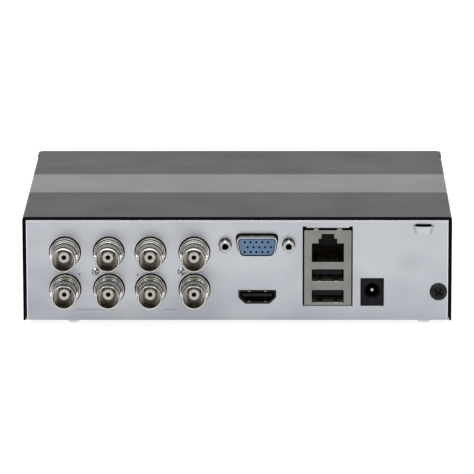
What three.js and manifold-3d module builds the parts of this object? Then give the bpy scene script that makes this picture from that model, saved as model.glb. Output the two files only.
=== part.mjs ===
// A compact eight-channel video recorder in a folded steel case.
// Millimetres, +Z up. X runs along the connector panel, -Y is the connector (rear) side and +Y the
// front bezel. The origin is the centre of the overall box, on the surface that the feet stand on.
import * as THREE from "three";
import { mergeVertices } from "three/addons/utils/BufferGeometryUtils.js";
import Module from "manifold-3d";

const wasm = await Module();
wasm.setup();

// ---------------------------------------------------------------- driving dimensions
const CASE_WIDTH = 169;
const CASE_DEPTH = 125; // cover's rear edge to the bezel's face
const CASE_HEIGHT = 42; // underside of the base to the top of the cover
const FOOT_HEIGHT = 2.2;
const JACK_REACH = 14; // how far the coaxial jacks stand out behind the cover's rear edge
const SHEET = 0.8; // base steel
const COVER_SHEET = 0.9;
const SLIP = 0.2; // between the cover and the base it wraps
const TOUCH = 0.3; // gap left between pieces that are cut to fit each other
const BEZEL_DEPTH = 10;
const BEZEL_WALL = 2;
const BEZEL_FACE = 2.4; // thickness of its front face
const BEZEL_CORNER = 3; // radius of its upright corners

const BACK = -(CASE_DEPTH + JACK_REACH) / 2; // tips of the coaxial jacks
const COVER_REAR = BACK + JACK_REACH;
const FRONT = COVER_REAR + CASE_DEPTH;
const COVER_FRONT = FRONT - BEZEL_DEPTH;
const PANEL_INSET = 0.7;
const PANEL = COVER_REAR + PANEL_INSET; // outer face of the rear panel
const PANEL_IN = PANEL + SHEET;
const HALF = CASE_WIDTH / 2;
const BASE_HALF = HALF - COVER_SHEET - SLIP;
const PANEL_TOP = CASE_HEIGHT - COVER_SHEET - SLIP;

// Rear panel layout: x across, z above the underside of the base.
const BNC_COLUMNS = [-67.8, -50.55, -34.1, -16.85];
const BNC_ROWS = [27.65, 12.7];
const BNC_BLOCKS = { left: [0, 1], right: [2, 3] };
const BLOCK_SCREWS = { left: [-55.8, 19.75], right: [-22.0, 19.75] };
const VGA = { x: 7.8, z: 30.7, screwPitch: 24.99 };
const VGA_SCREWS = [VGA.x - VGA.screwPitch / 2, VGA.x + VGA.screwPitch / 2];
const HDMI = { x: 7.9, z: 6.7 }; // middle of its lower edge
const STACK = { x: 35.7, width: 18.6, bottom: 6.15, top: 36.5, depth: 21.5 };
const POWER = { x: 53.2, width: 9, bottom: 6.0, top: 17.0, boreZ: 12.0, depth: 14 };
const COVER_SCREW = { x: 79.3, z: 11.65 };
const TIE_BRIDGE = { x: 73.2, width: 8.4, bottom: 35.2, top: 38.4, reach: 2.8 };

// Main board and drive, z above the underside of the base.
const BOARD_TOP = 6;
const BOARD_THICK = 1.6;
const BOARD = { left: -81, right: 81, rear: PANEL_IN + 1, split: -15.5, legLeft: 32, front: 56 };
const DRIVE = { right: 20, length: 100, width: 69.85, bottom: 2.3, height: 9.5, y: 21 };
const DRIVE_LEFT = DRIVE.right - DRIVE.length;
const DRIVE_TOP = DRIVE.bottom + DRIVE.height;
const DRIVE_HOLES = { firstX: 14, pitchX: 76.6, pitchY: 61.72 };
const SPINDLE = { x: DRIVE_LEFT + 35, y: DRIVE.y };
const PIVOT = { x: 4, y: 35.1 };
const PLATTER_RADIUS = 32.5;

// ---------------------------------------------------------------- materials
function finish(color, roughness, metalness) {
  return new THREE.MeshStandardMaterial({ color, roughness, metalness });
}

const MATERIAL = {
  zincSteel: finish(0xb9bcc2, 0.38, 0.85),
  blackPaint: finish(0x17181a, 0.5, 0.1),
  blackPlastic: finish(0x141416, 0.45, 0),
  footRubber: finish(0xc9cac8, 0.8, 0),
  blackScrew: finish(0x1b1d1e, 0.4, 0.6),
  nickel: finish(0xa9a79c, 0.28, 1),
  ivory: finish(0xe4e0d4, 0.5, 0),
  bluePlastic: finish(0x5f83c4, 0.5, 0),
  tinnedSteel: finish(0xa8a59f, 0.4, 0.9),
  board: finish(0x1d5a3a, 0.55, 0),
  chip: finish(0x202124, 0.6, 0),
  aluminium: finish(0xb4b7ba, 0.35, 0.9),
  casting: finish(0x8e9195, 0.45, 0.8),
  mirror: finish(0xd9dbde, 0.08, 1),
  clearPlastic: finish(0xe8eef0, 0.2, 0),
  cable: finish(0x2b2b2e, 0.6, 0),
};

// ---------------------------------------------------------------- shapes
function block(x0, x1, y0, y1, z0, z1) {
  const made = new THREE.BoxGeometry(x1 - x0, y1 - y0, z1 - z0);
  return made.translate((x0 + x1) / 2, (y0 + y1) / 2, (z0 + z1) / 2);
}

// A round bar from y0 to y1, centred on (x, z).
function barY(radius, y0, y1, x, z, sides = 16) {
  const made = new THREE.CylinderGeometry(radius, radius, y1 - y0, sides);
  return made.translate(x, (y0 + y1) / 2, z);
}

// A round bar from z0 to z1, centred on (x, y), with its own radius at each end.
function barZ(lowRadius, highRadius, z0, z1, x, y, sides = 16) {
  const made = new THREE.CylinderGeometry(highRadius, lowRadius, z1 - z0, sides).rotateX(Math.PI / 2);
  return made.translate(x, y, (z0 + z1) / 2);
}

// A closed outline through the corners, each rounded by radius.
function outline(corners, radius = 0) {
  const shape = new THREE.Shape();
  corners.forEach(([x, y], i) => {
    const before = corners[(i + corners.length - 1) % corners.length];
    const after = corners[(i + 1) % corners.length];
    const towards = ([ax, ay]) => {
      const length = Math.hypot(ax - x, ay - y);
      return [x + ((ax - x) * radius) / length, y + ((ay - y) * radius) / length];
    };
    const start = towards(before);
    if (i === 0) shape.moveTo(...start);
    else shape.lineTo(...start);
    if (radius > 0) shape.quadraticCurveTo(x, y, ...towards(after));
  });
  shape.closePath();
  return shape;
}

function rectangle(x0, x1, y0, y1, radius = 0) {
  return outline([[x0, y0], [x1, y0], [x1, y1], [x0, y1]], radius);
}

// An outline drawn in x and z, extruded from y0 to y1.
function prismY(shape, y0, y1, curveSegments = 3) {
  const made = new THREE.ExtrudeGeometry(shape, { depth: y1 - y0, bevelEnabled: false, curveSegments });
  return made.rotateX(Math.PI / 2).translate(0, y1, 0);
}

// An outline drawn in x and y, extruded from z0 to z1.
function prismZ(shape, z0, z1, curveSegments = 3) {
  const made = new THREE.ExtrudeGeometry(shape, { depth: z1 - z0, bevelEnabled: false, curveSegments });
  return made.translate(0, 0, z0);
}

// A flat strip that follows points [y, z] at a constant x, or [x, z] at a constant y.
function strip(points, width, thickness, at, alongX, steps = 20) {
  const place = ([u, z]) => (alongX ? new THREE.Vector3(u, at, z) : new THREE.Vector3(at, u, z));
  const path = new THREE.CatmullRomCurve3(points.map(place));
  const across = rectangle(-width / 2, width / 2, -thickness / 2, thickness / 2);
  return new THREE.ExtrudeGeometry(across, { steps, extrudePath: path, curveSegments: 1 });
}

// ---------------------------------------------------------------- booleans
function solid(geometry) {
  const bare = geometry.clone();
  bare.deleteAttribute("normal");
  bare.deleteAttribute("uv");
  const merged = mergeVertices(bare, 1e-4);
  return new wasm.Manifold(new wasm.Mesh({
    numProp: 3,
    vertProperties: new Float32Array(merged.attributes.position.array),
    triVerts: new Uint32Array(merged.index.array),
  }));
}

function geometryOf(made) {
  const mesh = made.getMesh();
  const positions = new THREE.BufferAttribute(new Float32Array(mesh.vertProperties), 3);
  const geometry = new THREE.BufferGeometry().setAttribute("position", positions);
  geometry.setIndex(new THREE.BufferAttribute(new Uint32Array(mesh.triVerts), 1));
  return geometry;
}

function join(...geometries) {
  return geometryOf(geometries.map(solid).reduce((a, b) => a.add(b)));
}

function cut(geometry, ...tools) {
  return geometryOf(tools.map(solid).reduce((a, b) => a.subtract(b), solid(geometry)));
}

// ---------------------------------------------------------------- the object's groups
const recorder = new THREE.Group();
const body = new THREE.Group(); // z = 0 is the underside of the base
body.position.z = FOOT_HEIGHT;
recorder.add(body);

function piece(name, geometry, material, parent = body) {
  const mesh = new THREE.Mesh(geometry, material);
  mesh.name = name;
  parent.add(mesh);
}

// ---------------------------------------------------------------- shared outlines
// The D outline of a fifteen-way video socket, wide side up.
function dOutline(width, height, radius) {
  const slope = Math.tan(THREE.MathUtils.degToRad(10));
  const top = width / 2;
  const low = top - height * slope;
  const { x, z } = VGA;
  return outline([
    [x - low, z - height / 2], [x + low, z - height / 2],
    [x + top, z + height / 2], [x - top, z + height / 2],
  ], radius);
}

// The HDMI outline: straight top and sides, lower corners sloped in.
function hdmiOutline(margin) {
  const half = 7.25 + margin;
  const flat = 4.7 + margin * 0.6;
  const low = HDMI.z - margin + 0.25;
  const high = HDMI.z + 5.4 + margin;
  const shoulder = HDMI.z + 2.6;
  return outline([
    [HDMI.x - flat, low], [HDMI.x + flat, low], [HDMI.x + half, shoulder],
    [HDMI.x + half, high], [HDMI.x - half, high], [HDMI.x - half, shoulder],
  ]);
}

// The network socket's opening: a wide mouth with two steps above it for the plug's latch.
function networkMouth() {
  const { x } = STACK;
  return outline([
    [x - 6.3, 23.7], [x + 6.3, 23.7], [x + 6.3, 31.2], [x + 3.65, 31.2], [x + 3.65, 33.1], [x + 2.5, 33.1],
    [x + 2.5, 35.0], [x - 2.5, 35.0], [x - 2.5, 33.1], [x - 3.65, 33.1], [x - 3.65, 31.2], [x - 6.3, 31.2],
  ]);
}

const USB_MOUTHS = [{ low: 15.7, high: 20.7 }, { low: 7.1, high: 12.3 }];
const USB_HALF = 6.3;

// ---------------------------------------------------------------- base and rear panel
// Half an ellipse bulging towards -Y, from one foot of the tie bridge to the other.
function halfEllipse(halfWidth, reach, steps = 10) {
  return Array.from({ length: steps + 1 }, (_, i) => {
    const angle = (Math.PI * i) / steps;
    return [halfWidth * Math.cos(angle), -reach * Math.sin(angle)];
  });
}

function ventSlots(centreX, y0, pitch, count, length) {
  const slots = [];
  for (let i = 0; i < count; i += 1) {
    const y = y0 + i * pitch;
    const shape = rectangle(centreX - length / 2, centreX + length / 2, y - 1, y + 1, 0.9);
    slots.push(prismZ(shape, -1, SHEET + 1, 2));
  }
  return slots;
}

function driveScrewPlaces() {
  const x1 = DRIVE.right - DRIVE_HOLES.firstX;
  const x0 = x1 - DRIVE_HOLES.pitchX;
  const half = DRIVE_HOLES.pitchY / 2;
  return [[x0, DRIVE.y - half], [x1, DRIVE.y - half], [x0, DRIVE.y + half], [x1, DRIVE.y + half]];
}

const BOARD_POSTS = [[-76, -21], [0, -21], [76, -44], [76, 50], [37, 50]];
const HOOKS = [-60, 0, 60];
const LIP_REAR = COVER_FRONT - 0.1 - SHEET;

function basePlate() {
  const panel = block(-BASE_HALF, BASE_HALF, PANEL, PANEL_IN, 0, PANEL_TOP);
  const floor = block(-BASE_HALF, BASE_HALF, PANEL, LIP_REAR + SHEET, 0, SHEET);
  const flange = block(-BASE_HALF, 70, PANEL, PANEL + 6, PANEL_TOP - SHEET, PANEL_TOP);
  const leftReturn = block(-BASE_HALF, -BASE_HALF + SHEET, PANEL, PANEL + 6, 0, PANEL_TOP);
  const frontLip = block(-BASE_HALF, BASE_HALF, LIP_REAR, LIP_REAR + SHEET, 0, 10);
  const sideLips = [-1, 1].map((side) => {
    const outer = side * BASE_HALF;
    const inner = side * (BASE_HALF - SHEET);
    return block(Math.min(outer, inner), Math.max(outer, inner), PANEL + 7, LIP_REAR + SHEET, 0, 9);
  });
  const posts = BOARD_POSTS.map(([x, y]) => barZ(3, 2.4, 0, BOARD_TOP - BOARD_THICK, x, y, 12));
  const bosses = driveScrewPlaces().map(([x, y]) => barZ(4.4, 3.4, 0, DRIVE.bottom, x, y, 12));
  const { x, width, bottom, top, reach } = TIE_BRIDGE;
  const arch = outline([
    ...halfEllipse(width / 2, reach), [-width / 2, SHEET / 2], [SHEET - width / 2, SHEET / 2],
    ...halfEllipse(width / 2 - SHEET, reach - SHEET).reverse(), [width / 2 - SHEET, SHEET / 2],
    [width / 2, SHEET / 2],
  ]);
  const strap = prismZ(arch, bottom, top).translate(x, PANEL, 0);
  const sheets = [panel, floor, flange, leftReturn, frontLip, ...sideLips];
  return { whole: join(...sheets, ...posts, ...bosses), strap };
}

function panelCutouts() {
  const y0 = PANEL - 1;
  const y1 = PANEL_IN + 0.5;
  const coax = BNC_ROWS.flatMap((z) => BNC_COLUMNS.map((x) => barY(6.35, y0, y1, x, z, 24)));
  const blockScrews = Object.values(BLOCK_SCREWS).map(([x, z]) => barY(1.2, y0, y1, x, z, 8));
  const jackScrews = VGA_SCREWS.map((x) => barY(2.6, y0, y1, x, VGA.z, 12));
  const stack = outline([
    [STACK.x - 9.8, STACK.bottom - TOUCH], [STACK.x + 9.8, STACK.bottom - TOUCH],
    [STACK.x + 9.8, STACK.top + 1.5], [STACK.x + 8.4, STACK.top + 1.5],
    [STACK.x + 8.4, STACK.top + 1.0], [STACK.x - 8.4, STACK.top + 1.0],
    [STACK.x - 8.4, STACK.top + 1.5], [STACK.x - 9.8, STACK.top + 1.5],
  ]);
  const power = rectangle(POWER.x - 4.65, POWER.x + 4.65, POWER.bottom - 0.15, POWER.top + 0.15);
  const slot = rectangle(TIE_BRIDGE.x - 3.2, TIE_BRIDGE.x + 3.2, TIE_BRIDGE.bottom, TIE_BRIDGE.top + 0.4);
  const reliefs = [-1, 1].map((side) => {
    const x = side * (BASE_HALF - 0.9);
    return block(x - 0.35, x + 0.35, y0, y1, -1, 0.8);
  });
  const flat = [dOutline(17.3, 8.8, 2.6), hdmiOutline(0.25), stack, power, slot];
  return [
    ...coax, ...blockScrews, ...jackScrews, ...reliefs, ...flat.map((shape) => prismY(shape, y0, y1)),
    barY(1.7, y0, y1, COVER_SCREW.x, COVER_SCREW.z, 12),
  ];
}

function baseHoles() {
  const drive = driveScrewPlaces().map(([x, y]) => barZ(1.7, 1.7, -1, DRIVE.bottom + 1, x, y, 12));
  const hooks = HOOKS.map((x) => block(x - 4.5, x + 4.5, LIP_REAR - 1, COVER_FRONT, 3.9, 7));
  return [...drive, ...hooks, ...ventSlots(56, -24, 6, 9, 14), ...ventSlots(-30, 4, 7, 6, 22)];
}

function baseChassis() {
  const { whole, strap } = basePlate();
  return join(cut(whole, ...panelCutouts(), ...baseHoles()), strap);
}

piece("base_chassis", baseChassis(), MATERIAL.zincSteel);

// ---------------------------------------------------------------- cover
function sideVents() {
  const vents = [];
  for (let i = 0; i < 12; i += 1) {
    const y = -30 + i * 6;
    vents.push(block(-HALF - 1, HALF + 1, y - 1, y + 1, 15, 29));
  }
  return vents;
}

// The tab behind the panel has a slot open downwards, so the cover lifts off past its loosened screw.
function coverTab() {
  const { x, z } = COVER_SCREW;
  const tab = block(73.5, HALF - COVER_SHEET / 2, PANEL_IN + TOUCH, PANEL_IN + TOUCH + COVER_SHEET, 7, 20);
  const y0 = PANEL_IN - 1;
  const y1 = PANEL_IN + 3;
  return cut(tab, barY(1.8, y0, y1, x, z, 12), block(x - 1.8, x + 1.8, y0, y1, 0, z));
}

function topCover() {
  const outer = block(-HALF, HALF, COVER_REAR, COVER_FRONT, 0.1, CASE_HEIGHT);
  const inner = block(
    -HALF + COVER_SHEET, HALF - COVER_SHEET, COVER_REAR - 1, COVER_FRONT + 1, -1, CASE_HEIGHT - COVER_SHEET,
  );
  return join(cut(outer, inner, ...sideVents()), coverTab());
}

piece("top_cover", topCover(), MATERIAL.blackPaint);

function panHead(radius, height, shank, length, sides = 16) {
  const profile = [
    [0, -height], [radius * 0.7, -height], [radius, -height * 0.45], [radius, 0],
    [shank, 0], [shank, length], [0, length],
  ];
  return new THREE.LatheGeometry(profile.map(([r, y]) => new THREE.Vector2(r, y)), sides);
}

const coverScrew = panHead(3.45, 1.8, 1.45, 6).translate(COVER_SCREW.x, PANEL - 0.05, COVER_SCREW.z);
piece("cover_screw", coverScrew, MATERIAL.blackScrew);

// ---------------------------------------------------------------- front bezel and its indicators
const PIPES = [52, 60, 68];
const PIPE_Z = 13;
const PIPE_RADIUS = 1.4;
const LED_BOARD = { left: PIPES[0] - 8, right: PIPES[2] + 8, rear: FRONT - 9, front: FRONT - 7.8 };

// Four walls and a face, open at the back, with hooks that snap through the base's front lip.
function frontBezel() {
  const plan = new THREE.Shape();
  plan.moveTo(-HALF, COVER_FRONT);
  plan.lineTo(HALF, COVER_FRONT);
  plan.lineTo(HALF, FRONT - BEZEL_CORNER);
  plan.quadraticCurveTo(HALF, FRONT, HALF - BEZEL_CORNER, FRONT);
  plan.lineTo(-HALF + BEZEL_CORNER, FRONT);
  plan.quadraticCurveTo(-HALF, FRONT, -HALF, FRONT - BEZEL_CORNER);
  plan.closePath();
  const shell = prismZ(plan, 0.1, CASE_HEIGHT, 6);
  const wall = BEZEL_WALL;
  const inside = FRONT - BEZEL_FACE;
  const hollow = block(-HALF + wall, HALF - wall, COVER_FRONT - 1, inside, 0.1 + wall, CASE_HEIGHT - wall);
  const groove = block(-HALF - 1, HALF + 1, FRONT - 0.8, FRONT + 1, 23.5, 24.5);
  const ledge = block(-80, 80, COVER_FRONT - 2.4, COVER_FRONT + 1, CASE_HEIGHT - 2.5, CASE_HEIGHT - 1.3);
  const arms = HOOKS.map((x) => block(x - 4, x + 4, LIP_REAR - 1.7, FRONT - 2, 5, 6.5));
  const barbs = HOOKS.map((x) => block(x - 4, x + 4, LIP_REAR - 1.7, LIP_REAR - 0.2, 4.2, 5.4));
  const pegs = [LED_BOARD.left + 2.5, LED_BOARD.right - 2.5].map((x) => {
    return barY(1.5, LED_BOARD.front, inside + 1, x, PIPE_Z + 3.5, 10);
  });
  const holes = PIPES.map((x) => barY(PIPE_RADIUS + TOUCH, FRONT - 4, FRONT + 1, x, PIPE_Z, 12));
  return join(cut(shell, hollow, groove, ...holes), ledge, ...arms, ...barbs, ...pegs);
}

function lightPipe() {
  const bar = block(PIPES[0] - 3, PIPES[2] + 3, FRONT - 5.5, FRONT - 4, PIPE_Z - 2, PIPE_Z + 2);
  return join(bar, ...PIPES.map((x) => barY(PIPE_RADIUS, FRONT - 5, FRONT, x, PIPE_Z, 12)));
}

function ledBoard() {
  const { left, right, rear, front } = LED_BOARD;
  const board = block(left, right, rear, front, PIPE_Z - 5, PIPE_Z + 6);
  const lamps = PIPES.map((x) => {
    return block(x - 1.2, x + 1.2, front - 0.2, front + 1.6, PIPE_Z - 0.8, PIPE_Z + 0.8);
  });
  return join(board, ...lamps);
}

piece("front_bezel", frontBezel(), MATERIAL.blackPlastic);
piece("light_pipe", lightPipe(), MATERIAL.clearPlastic);
piece("led_board", ledBoard(), MATERIAL.board);

// ---------------------------------------------------------------- feet
const FEET = {
  rear_left: [-64.9, COVER_REAR + 8], rear_right: [73.8, COVER_REAR + 8],
  front_left: [-64.9, COVER_FRONT - 17], front_right: [73.8, COVER_FRONT - 17],
};
for (const [name, [x, y]] of Object.entries(FEET)) {
  piece("foot_" + name, barZ(2.3, 3.5, 0, FOOT_HEIGHT, x, y), MATERIAL.footRubber, recorder);
}

// ---------------------------------------------------------------- coaxial video inputs
// Profiles are [radius, distance along Y from the panel's outer face]; minus is out of the case.
function turned(profile, x, z, sides) {
  const made = new THREE.LatheGeometry(profile.map(([r, y]) => new THREE.Vector2(r, y)), sides);
  return made.translate(x, PANEL, z);
}

const TIP = BACK - PANEL;
const BNC_SHELL = [
  [4.05, TIP], [4.5, TIP], [4.8, TIP + 0.5], [4.8, -6], [5.4, -6], [5.4, -3], [6, -3], [6, 1],
  [4.6, 1], [4.6, 7],
  [2.65, 7], [2.65, -2.5], [4.05, -2.5], [4.05, TIP],
];
const BNC_INSULATOR = [[0, -4.5], [0.9, -4.5], [0.9, -9.5], [2.35, -9.5], [2.35, 6.5], [0, 6.5]];
const LUG = { y: -9.4, radius: 1, reach: 5.55 };

function bncShell(x, z) {
  const lugs = new THREE.CylinderGeometry(LUG.radius, LUG.radius, 2 * LUG.reach, 8).rotateZ(Math.PI / 2);
  const bore = barY(4.4, TIP - 1, 0, 0, 0, 16).translate(0, PANEL, 0);
  const ears = cut(lugs.translate(0, PANEL + LUG.y, 0), bore).translate(x, 0, z);
  return join(turned(BNC_SHELL, x, z, 16), ears);
}

function bncBlock(columns) {
  const xs = columns.map((i) => BNC_COLUMNS[i]);
  const front = PANEL_IN + TOUCH;
  const whole = block(xs[0] - 7.4, xs[1] + 7.4, front, front + 19, BOARD_TOP, 36);
  const bores = BNC_ROWS.flatMap((z) => xs.map((x) => barY(4.95, front - 1, front + 6.4, x, z)));
  return [whole, ...bores];
}

BNC_ROWS.forEach((z, row) => BNC_COLUMNS.forEach((x, column) => {
  const number = row * BNC_COLUMNS.length + column + 1;
  piece("bnc_shell_" + number, bncShell(x, z), MATERIAL.nickel);
  piece("bnc_insulator_" + number, turned(BNC_INSULATOR, x, z, 12), MATERIAL.ivory);
}));
for (const [side, columns] of Object.entries(BNC_BLOCKS)) {
  const [x, z] = BLOCK_SCREWS[side];
  const pilot = barY(1.15, PANEL_IN, PANEL_IN + 7, x, z, 8);
  piece("bnc_block_" + side, cut(...bncBlock(columns), pilot), MATERIAL.blackPlastic);
  const screw = panHead(1.6, 1, 0.9, 6, 10).translate(x, PANEL - 0.05, z);
  piece("bnc_block_screw_" + side, screw, MATERIAL.tinnedSteel);
}

// ---------------------------------------------------------------- video output (D socket on a riser)
const VGA_REACH = 5;
const VGA_FLANGE = PANEL_IN + TOUCH;

function vgaShell() {
  const plate = rectangle(VGA.x - 15.4, VGA.x + 15.4, VGA.z - 6.2, VGA.z + 6.2, 1);
  const flange = prismY(plate, VGA_FLANGE, VGA_FLANGE + 0.8);
  const skirt = prismY(dOutline(16.3, 7.9, 2.3), PANEL - VGA_REACH, VGA_FLANGE + 0.4);
  const hollow = prismY(dOutline(15.3, 6.9, 2), PANEL - VGA_REACH - 1, VGA_FLANGE + 2);
  const holes = VGA_SCREWS.map((x) => barY(2, VGA_FLANGE - 1, VGA_FLANGE + 2, x, VGA.z, 12));
  return cut(join(flange, skirt), hollow, ...holes);
}

function vgaInsulator() {
  const front = PANEL - VGA_REACH + 0.4;
  const tongue = prismY(dOutline(14.7, 6.3, 1.7), front, VGA_FLANGE + 1.1);
  const rows = [[-1.98, 0], [0, 1.145], [1.98, 0]];
  const pins = rows.flatMap(([dz, shift]) => [-2, -1, 0, 1, 2].map((i) => {
    return barY(0.42, front - 1, front + 2.5, VGA.x - 0.2 + shift + i * 2.29, VGA.z - dz, 6);
  }));
  return cut(tongue, ...pins);
}

function vgaRiser() {
  const rear = VGA_FLANGE + 1.1;
  const head = block(VGA.x - 15, VGA.x + 15, rear, rear + 9, VGA.z - 6, VGA.z + 6);
  const legs = [-1, 1].map((side) => {
    const x = VGA.x + side * 12.5;
    return block(x - 2.5, x + 2.5, rear, rear + 9, BOARD_TOP, VGA.z - 5);
  });
  const sockets = VGA_SCREWS.map((x) => barY(2.2, rear - 1, rear + 5, x, VGA.z, 12));
  return cut(join(head, ...legs), ...sockets);
}

// A hex post with a blind thread, screwed through the shell's flange.
function jackScrew(x) {
  const head = barY(2.55, PANEL - 4.6, VGA_FLANGE - 0.05, 0, 0, 6);
  const shank = barY(1.6, VGA_FLANGE - 1, VGA_FLANGE + 5.5, 0, 0, 12);
  const thread = barY(1.25, PANEL - 6, PANEL + 0.5, 0, 0, 12);
  return cut(join(head, shank), thread).translate(x, 0, VGA.z);
}

piece("vga_shell", vgaShell(), MATERIAL.tinnedSteel);
piece("vga_insulator", vgaInsulator(), MATERIAL.bluePlastic);
piece("vga_riser", vgaRiser(), MATERIAL.blackPlastic);
piece("vga_jackscrew_left", jackScrew(VGA_SCREWS[0]), MATERIAL.nickel);
piece("vga_jackscrew_right", jackScrew(VGA_SCREWS[1]), MATERIAL.nickel);

// ---------------------------------------------------------------- HDMI output
const HDMI_FRONT = PANEL + 0.1;

function hdmiShell() {
  const outer = prismY(hdmiOutline(0), HDMI_FRONT, HDMI_FRONT + 12);
  const hollow = prismY(hdmiOutline(-0.4), HDMI_FRONT - 1, HDMI_FRONT + 11);
  return cut(outer, hollow);
}

function hdmiTongue() {
  const { x, z } = HDMI;
  const back = HDMI_FRONT + 10.9;
  const blade = block(x - 5.9, x + 5.9, HDMI_FRONT + 1.2, back, z + 2.7, z + 3.9);
  const root = block(x - 6, x + 6, back - 1.6, back, z + 2.7, z + 4.9);
  return join(blade, root);
}

piece("hdmi_shell", hdmiShell(), MATERIAL.tinnedSteel);
piece("hdmi_tongue", hdmiTongue(), MATERIAL.blackPlastic);

// ---------------------------------------------------------------- network and USB stack
const STACK_FRONT = PANEL - 0.1;
const SHIELD = 0.4;
const INSERT_SPLIT = 22.2; // between the network insert and the USB insert

function stackShield() {
  const { x, width, bottom, top, depth } = STACK;
  const outer = block(x - width / 2, x + width / 2, STACK_FRONT, STACK_FRONT + depth, bottom, top);
  const hollow = block(
    x - width / 2 + SHIELD, x + width / 2 - SHIELD, STACK_FRONT + SHIELD, STACK_FRONT + depth + 1,
    bottom + SHIELD, top - SHIELD,
  );
  const mouths = USB_MOUTHS.map(({ low, high }) => {
    return block(x - USB_HALF, x + USB_HALF, STACK_FRONT - 1, STACK_FRONT + 1, low, high);
  });
  return cut(outer, hollow, prismY(networkMouth(), STACK_FRONT - 1, STACK_FRONT + 1), ...mouths);
}

function networkInsert() {
  const { x, width, top, depth } = STACK;
  const half = width / 2 - SHIELD - 0.1;
  const front = STACK_FRONT + SHIELD + 0.1;
  const whole = block(x - half, x + half, front, STACK_FRONT + depth, INSERT_SPLIT, top - SHIELD - 0.1);
  return cut(whole, prismY(networkMouth(), front - 1, front + 13.5));
}

function usbInsert() {
  const { x, width, bottom, depth } = STACK;
  const half = width / 2 - SHIELD - 0.1;
  const front = STACK_FRONT + SHIELD + 0.1;
  const low = bottom + SHIELD + 0.1;
  const whole = block(x - half, x + half, front, STACK_FRONT + depth, low, INSERT_SPLIT - 0.1);
  const mouths = USB_MOUTHS.map((mouth) => {
    return block(x - USB_HALF, x + USB_HALF, front - 1, front + 14, mouth.low, mouth.high);
  });
  const tongues = USB_MOUTHS.map(({ high }) => {
    return block(x - 5.6, x + 5.6, front + 0.6, front + 14.5, high - 2.3, high - 0.5);
  });
  return join(cut(whole, ...mouths), ...tongues);
}

piece("jack_stack_shield", stackShield(), MATERIAL.tinnedSteel);
piece("rj45_insert", networkInsert(), MATERIAL.blackPlastic);
piece("usb_insert", usbInsert(), MATERIAL.blackPlastic);

// ---------------------------------------------------------------- power inlet
const POWER_BORE = { radius: 3.1, depth: 9 };

function powerBody() {
  const { x, width, bottom, top, depth, boreZ } = POWER;
  const whole = block(x - width / 2, x + width / 2, PANEL - 0.05, PANEL + depth, bottom, top);
  const bore = barY(POWER_BORE.radius, PANEL - 1, PANEL + POWER_BORE.depth, x, boreZ, 20);
  const seat = barY(1.3, PANEL, PANEL + 12, x, boreZ, 10);
  return cut(whole, bore, seat);
}

function powerPin() {
  const profile = [[0, 1.2], [0.6, 1.2], [1, 1.8], [1, 11.8], [0, 11.8]];
  return turned(profile, POWER.x, POWER.boreZ, 10);
}

piece("dc_jack_body", powerBody(), MATERIAL.blackPlastic);
piece("dc_jack_pin", powerPin(), MATERIAL.nickel);

// ---------------------------------------------------------------- main board and what stands on it
const RIBBON = { x: 70, width: 8, headerY: 50, headerTop: 9.2 };

// An L of board, with the header that the indicators' ribbon plugs into.
function mainBoard() {
  const { left, right, rear, split, legLeft, front } = BOARD;
  const shape = outline([
    [left, rear], [right, rear], [right, front], [legLeft, front], [legLeft, split], [left, split],
  ]);
  const { x, width, headerY, headerTop } = RIBBON;
  const half = width / 2 + 0.5;
  const header = block(x - half, x + half, headerY - 1.5, headerY + 1.5, BOARD_TOP - 0.5, headerTop);
  return join(prismZ(shape, BOARD_TOP - BOARD_THICK, BOARD_TOP), header);
}

const CHIP = { x: 63, y: 0, half: 9, top: BOARD_TOP + 2.2 };

function heatsink() {
  const { x, y, top } = CHIP;
  const plate = block(x - 13, x + 13, y - 14, y + 14, top, top + 2.5);
  const fins = [];
  for (let i = -3; i <= 3; i += 1) {
    const finX = x + i * 4;
    fins.push(block(finX - 0.6, finX + 0.6, y - 14, y + 14, top + 2, top + 12));
  }
  return join(plate, ...fins);
}

const CELL = { x: 62, y: 37, radius: 10, low: BOARD_TOP + 1.2, thick: 3.2 };

function cellHolder() {
  const { x, y, radius, low } = CELL;
  const rim = block(x - radius - 2, x + radius + 2, y - radius - 1, y + radius + 1, BOARD_TOP, low + 2.4);
  return cut(rim, barZ(radius + TOUCH, radius + TOUCH, low, low + 5, x, y, 24));
}

piece("main_board", mainBoard(), MATERIAL.board);
const chip = block(-CHIP.half, CHIP.half, -CHIP.half, CHIP.half, BOARD_TOP, CHIP.top);
piece("soc_chip", chip.translate(CHIP.x, CHIP.y, 0), MATERIAL.chip);
piece("soc_heatsink", heatsink(), MATERIAL.aluminium);
piece("cell_holder", cellHolder(), MATERIAL.blackPlastic);
const cell = barZ(CELL.radius, CELL.radius, CELL.low, CELL.low + CELL.thick, CELL.x, CELL.y, 24);
piece("backup_cell", cell, MATERIAL.tinnedSteel);

const RIBBON_ROUTE = [
  [RIBBON.headerY, RIBBON.headerTop + TOUCH], [50.2, 11.6], [52.5, 14.6], [56, 15.6],
  [LED_BOARD.rear - TOUCH, 15.6],
];
const ribbon = strip(RIBBON_ROUTE, RIBBON.width, 0.7, RIBBON.x, false, 14);
piece("front_ribbon", ribbon, MATERIAL.cable);

// ---------------------------------------------------------------- drive
const DRIVE_Y0 = DRIVE.y - DRIVE.width / 2;
const DRIVE_Y1 = DRIVE.y + DRIVE.width / 2;
const LID_THICK = 0.8;
const BAY_FLOOR = DRIVE.bottom + 2.7;
const BAY_TOP = DRIVE_TOP - LID_THICK;
const CONNECTOR = { y0: 8.5, y1: 41.5, depth: 5.5, height: 4.9 };

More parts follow.
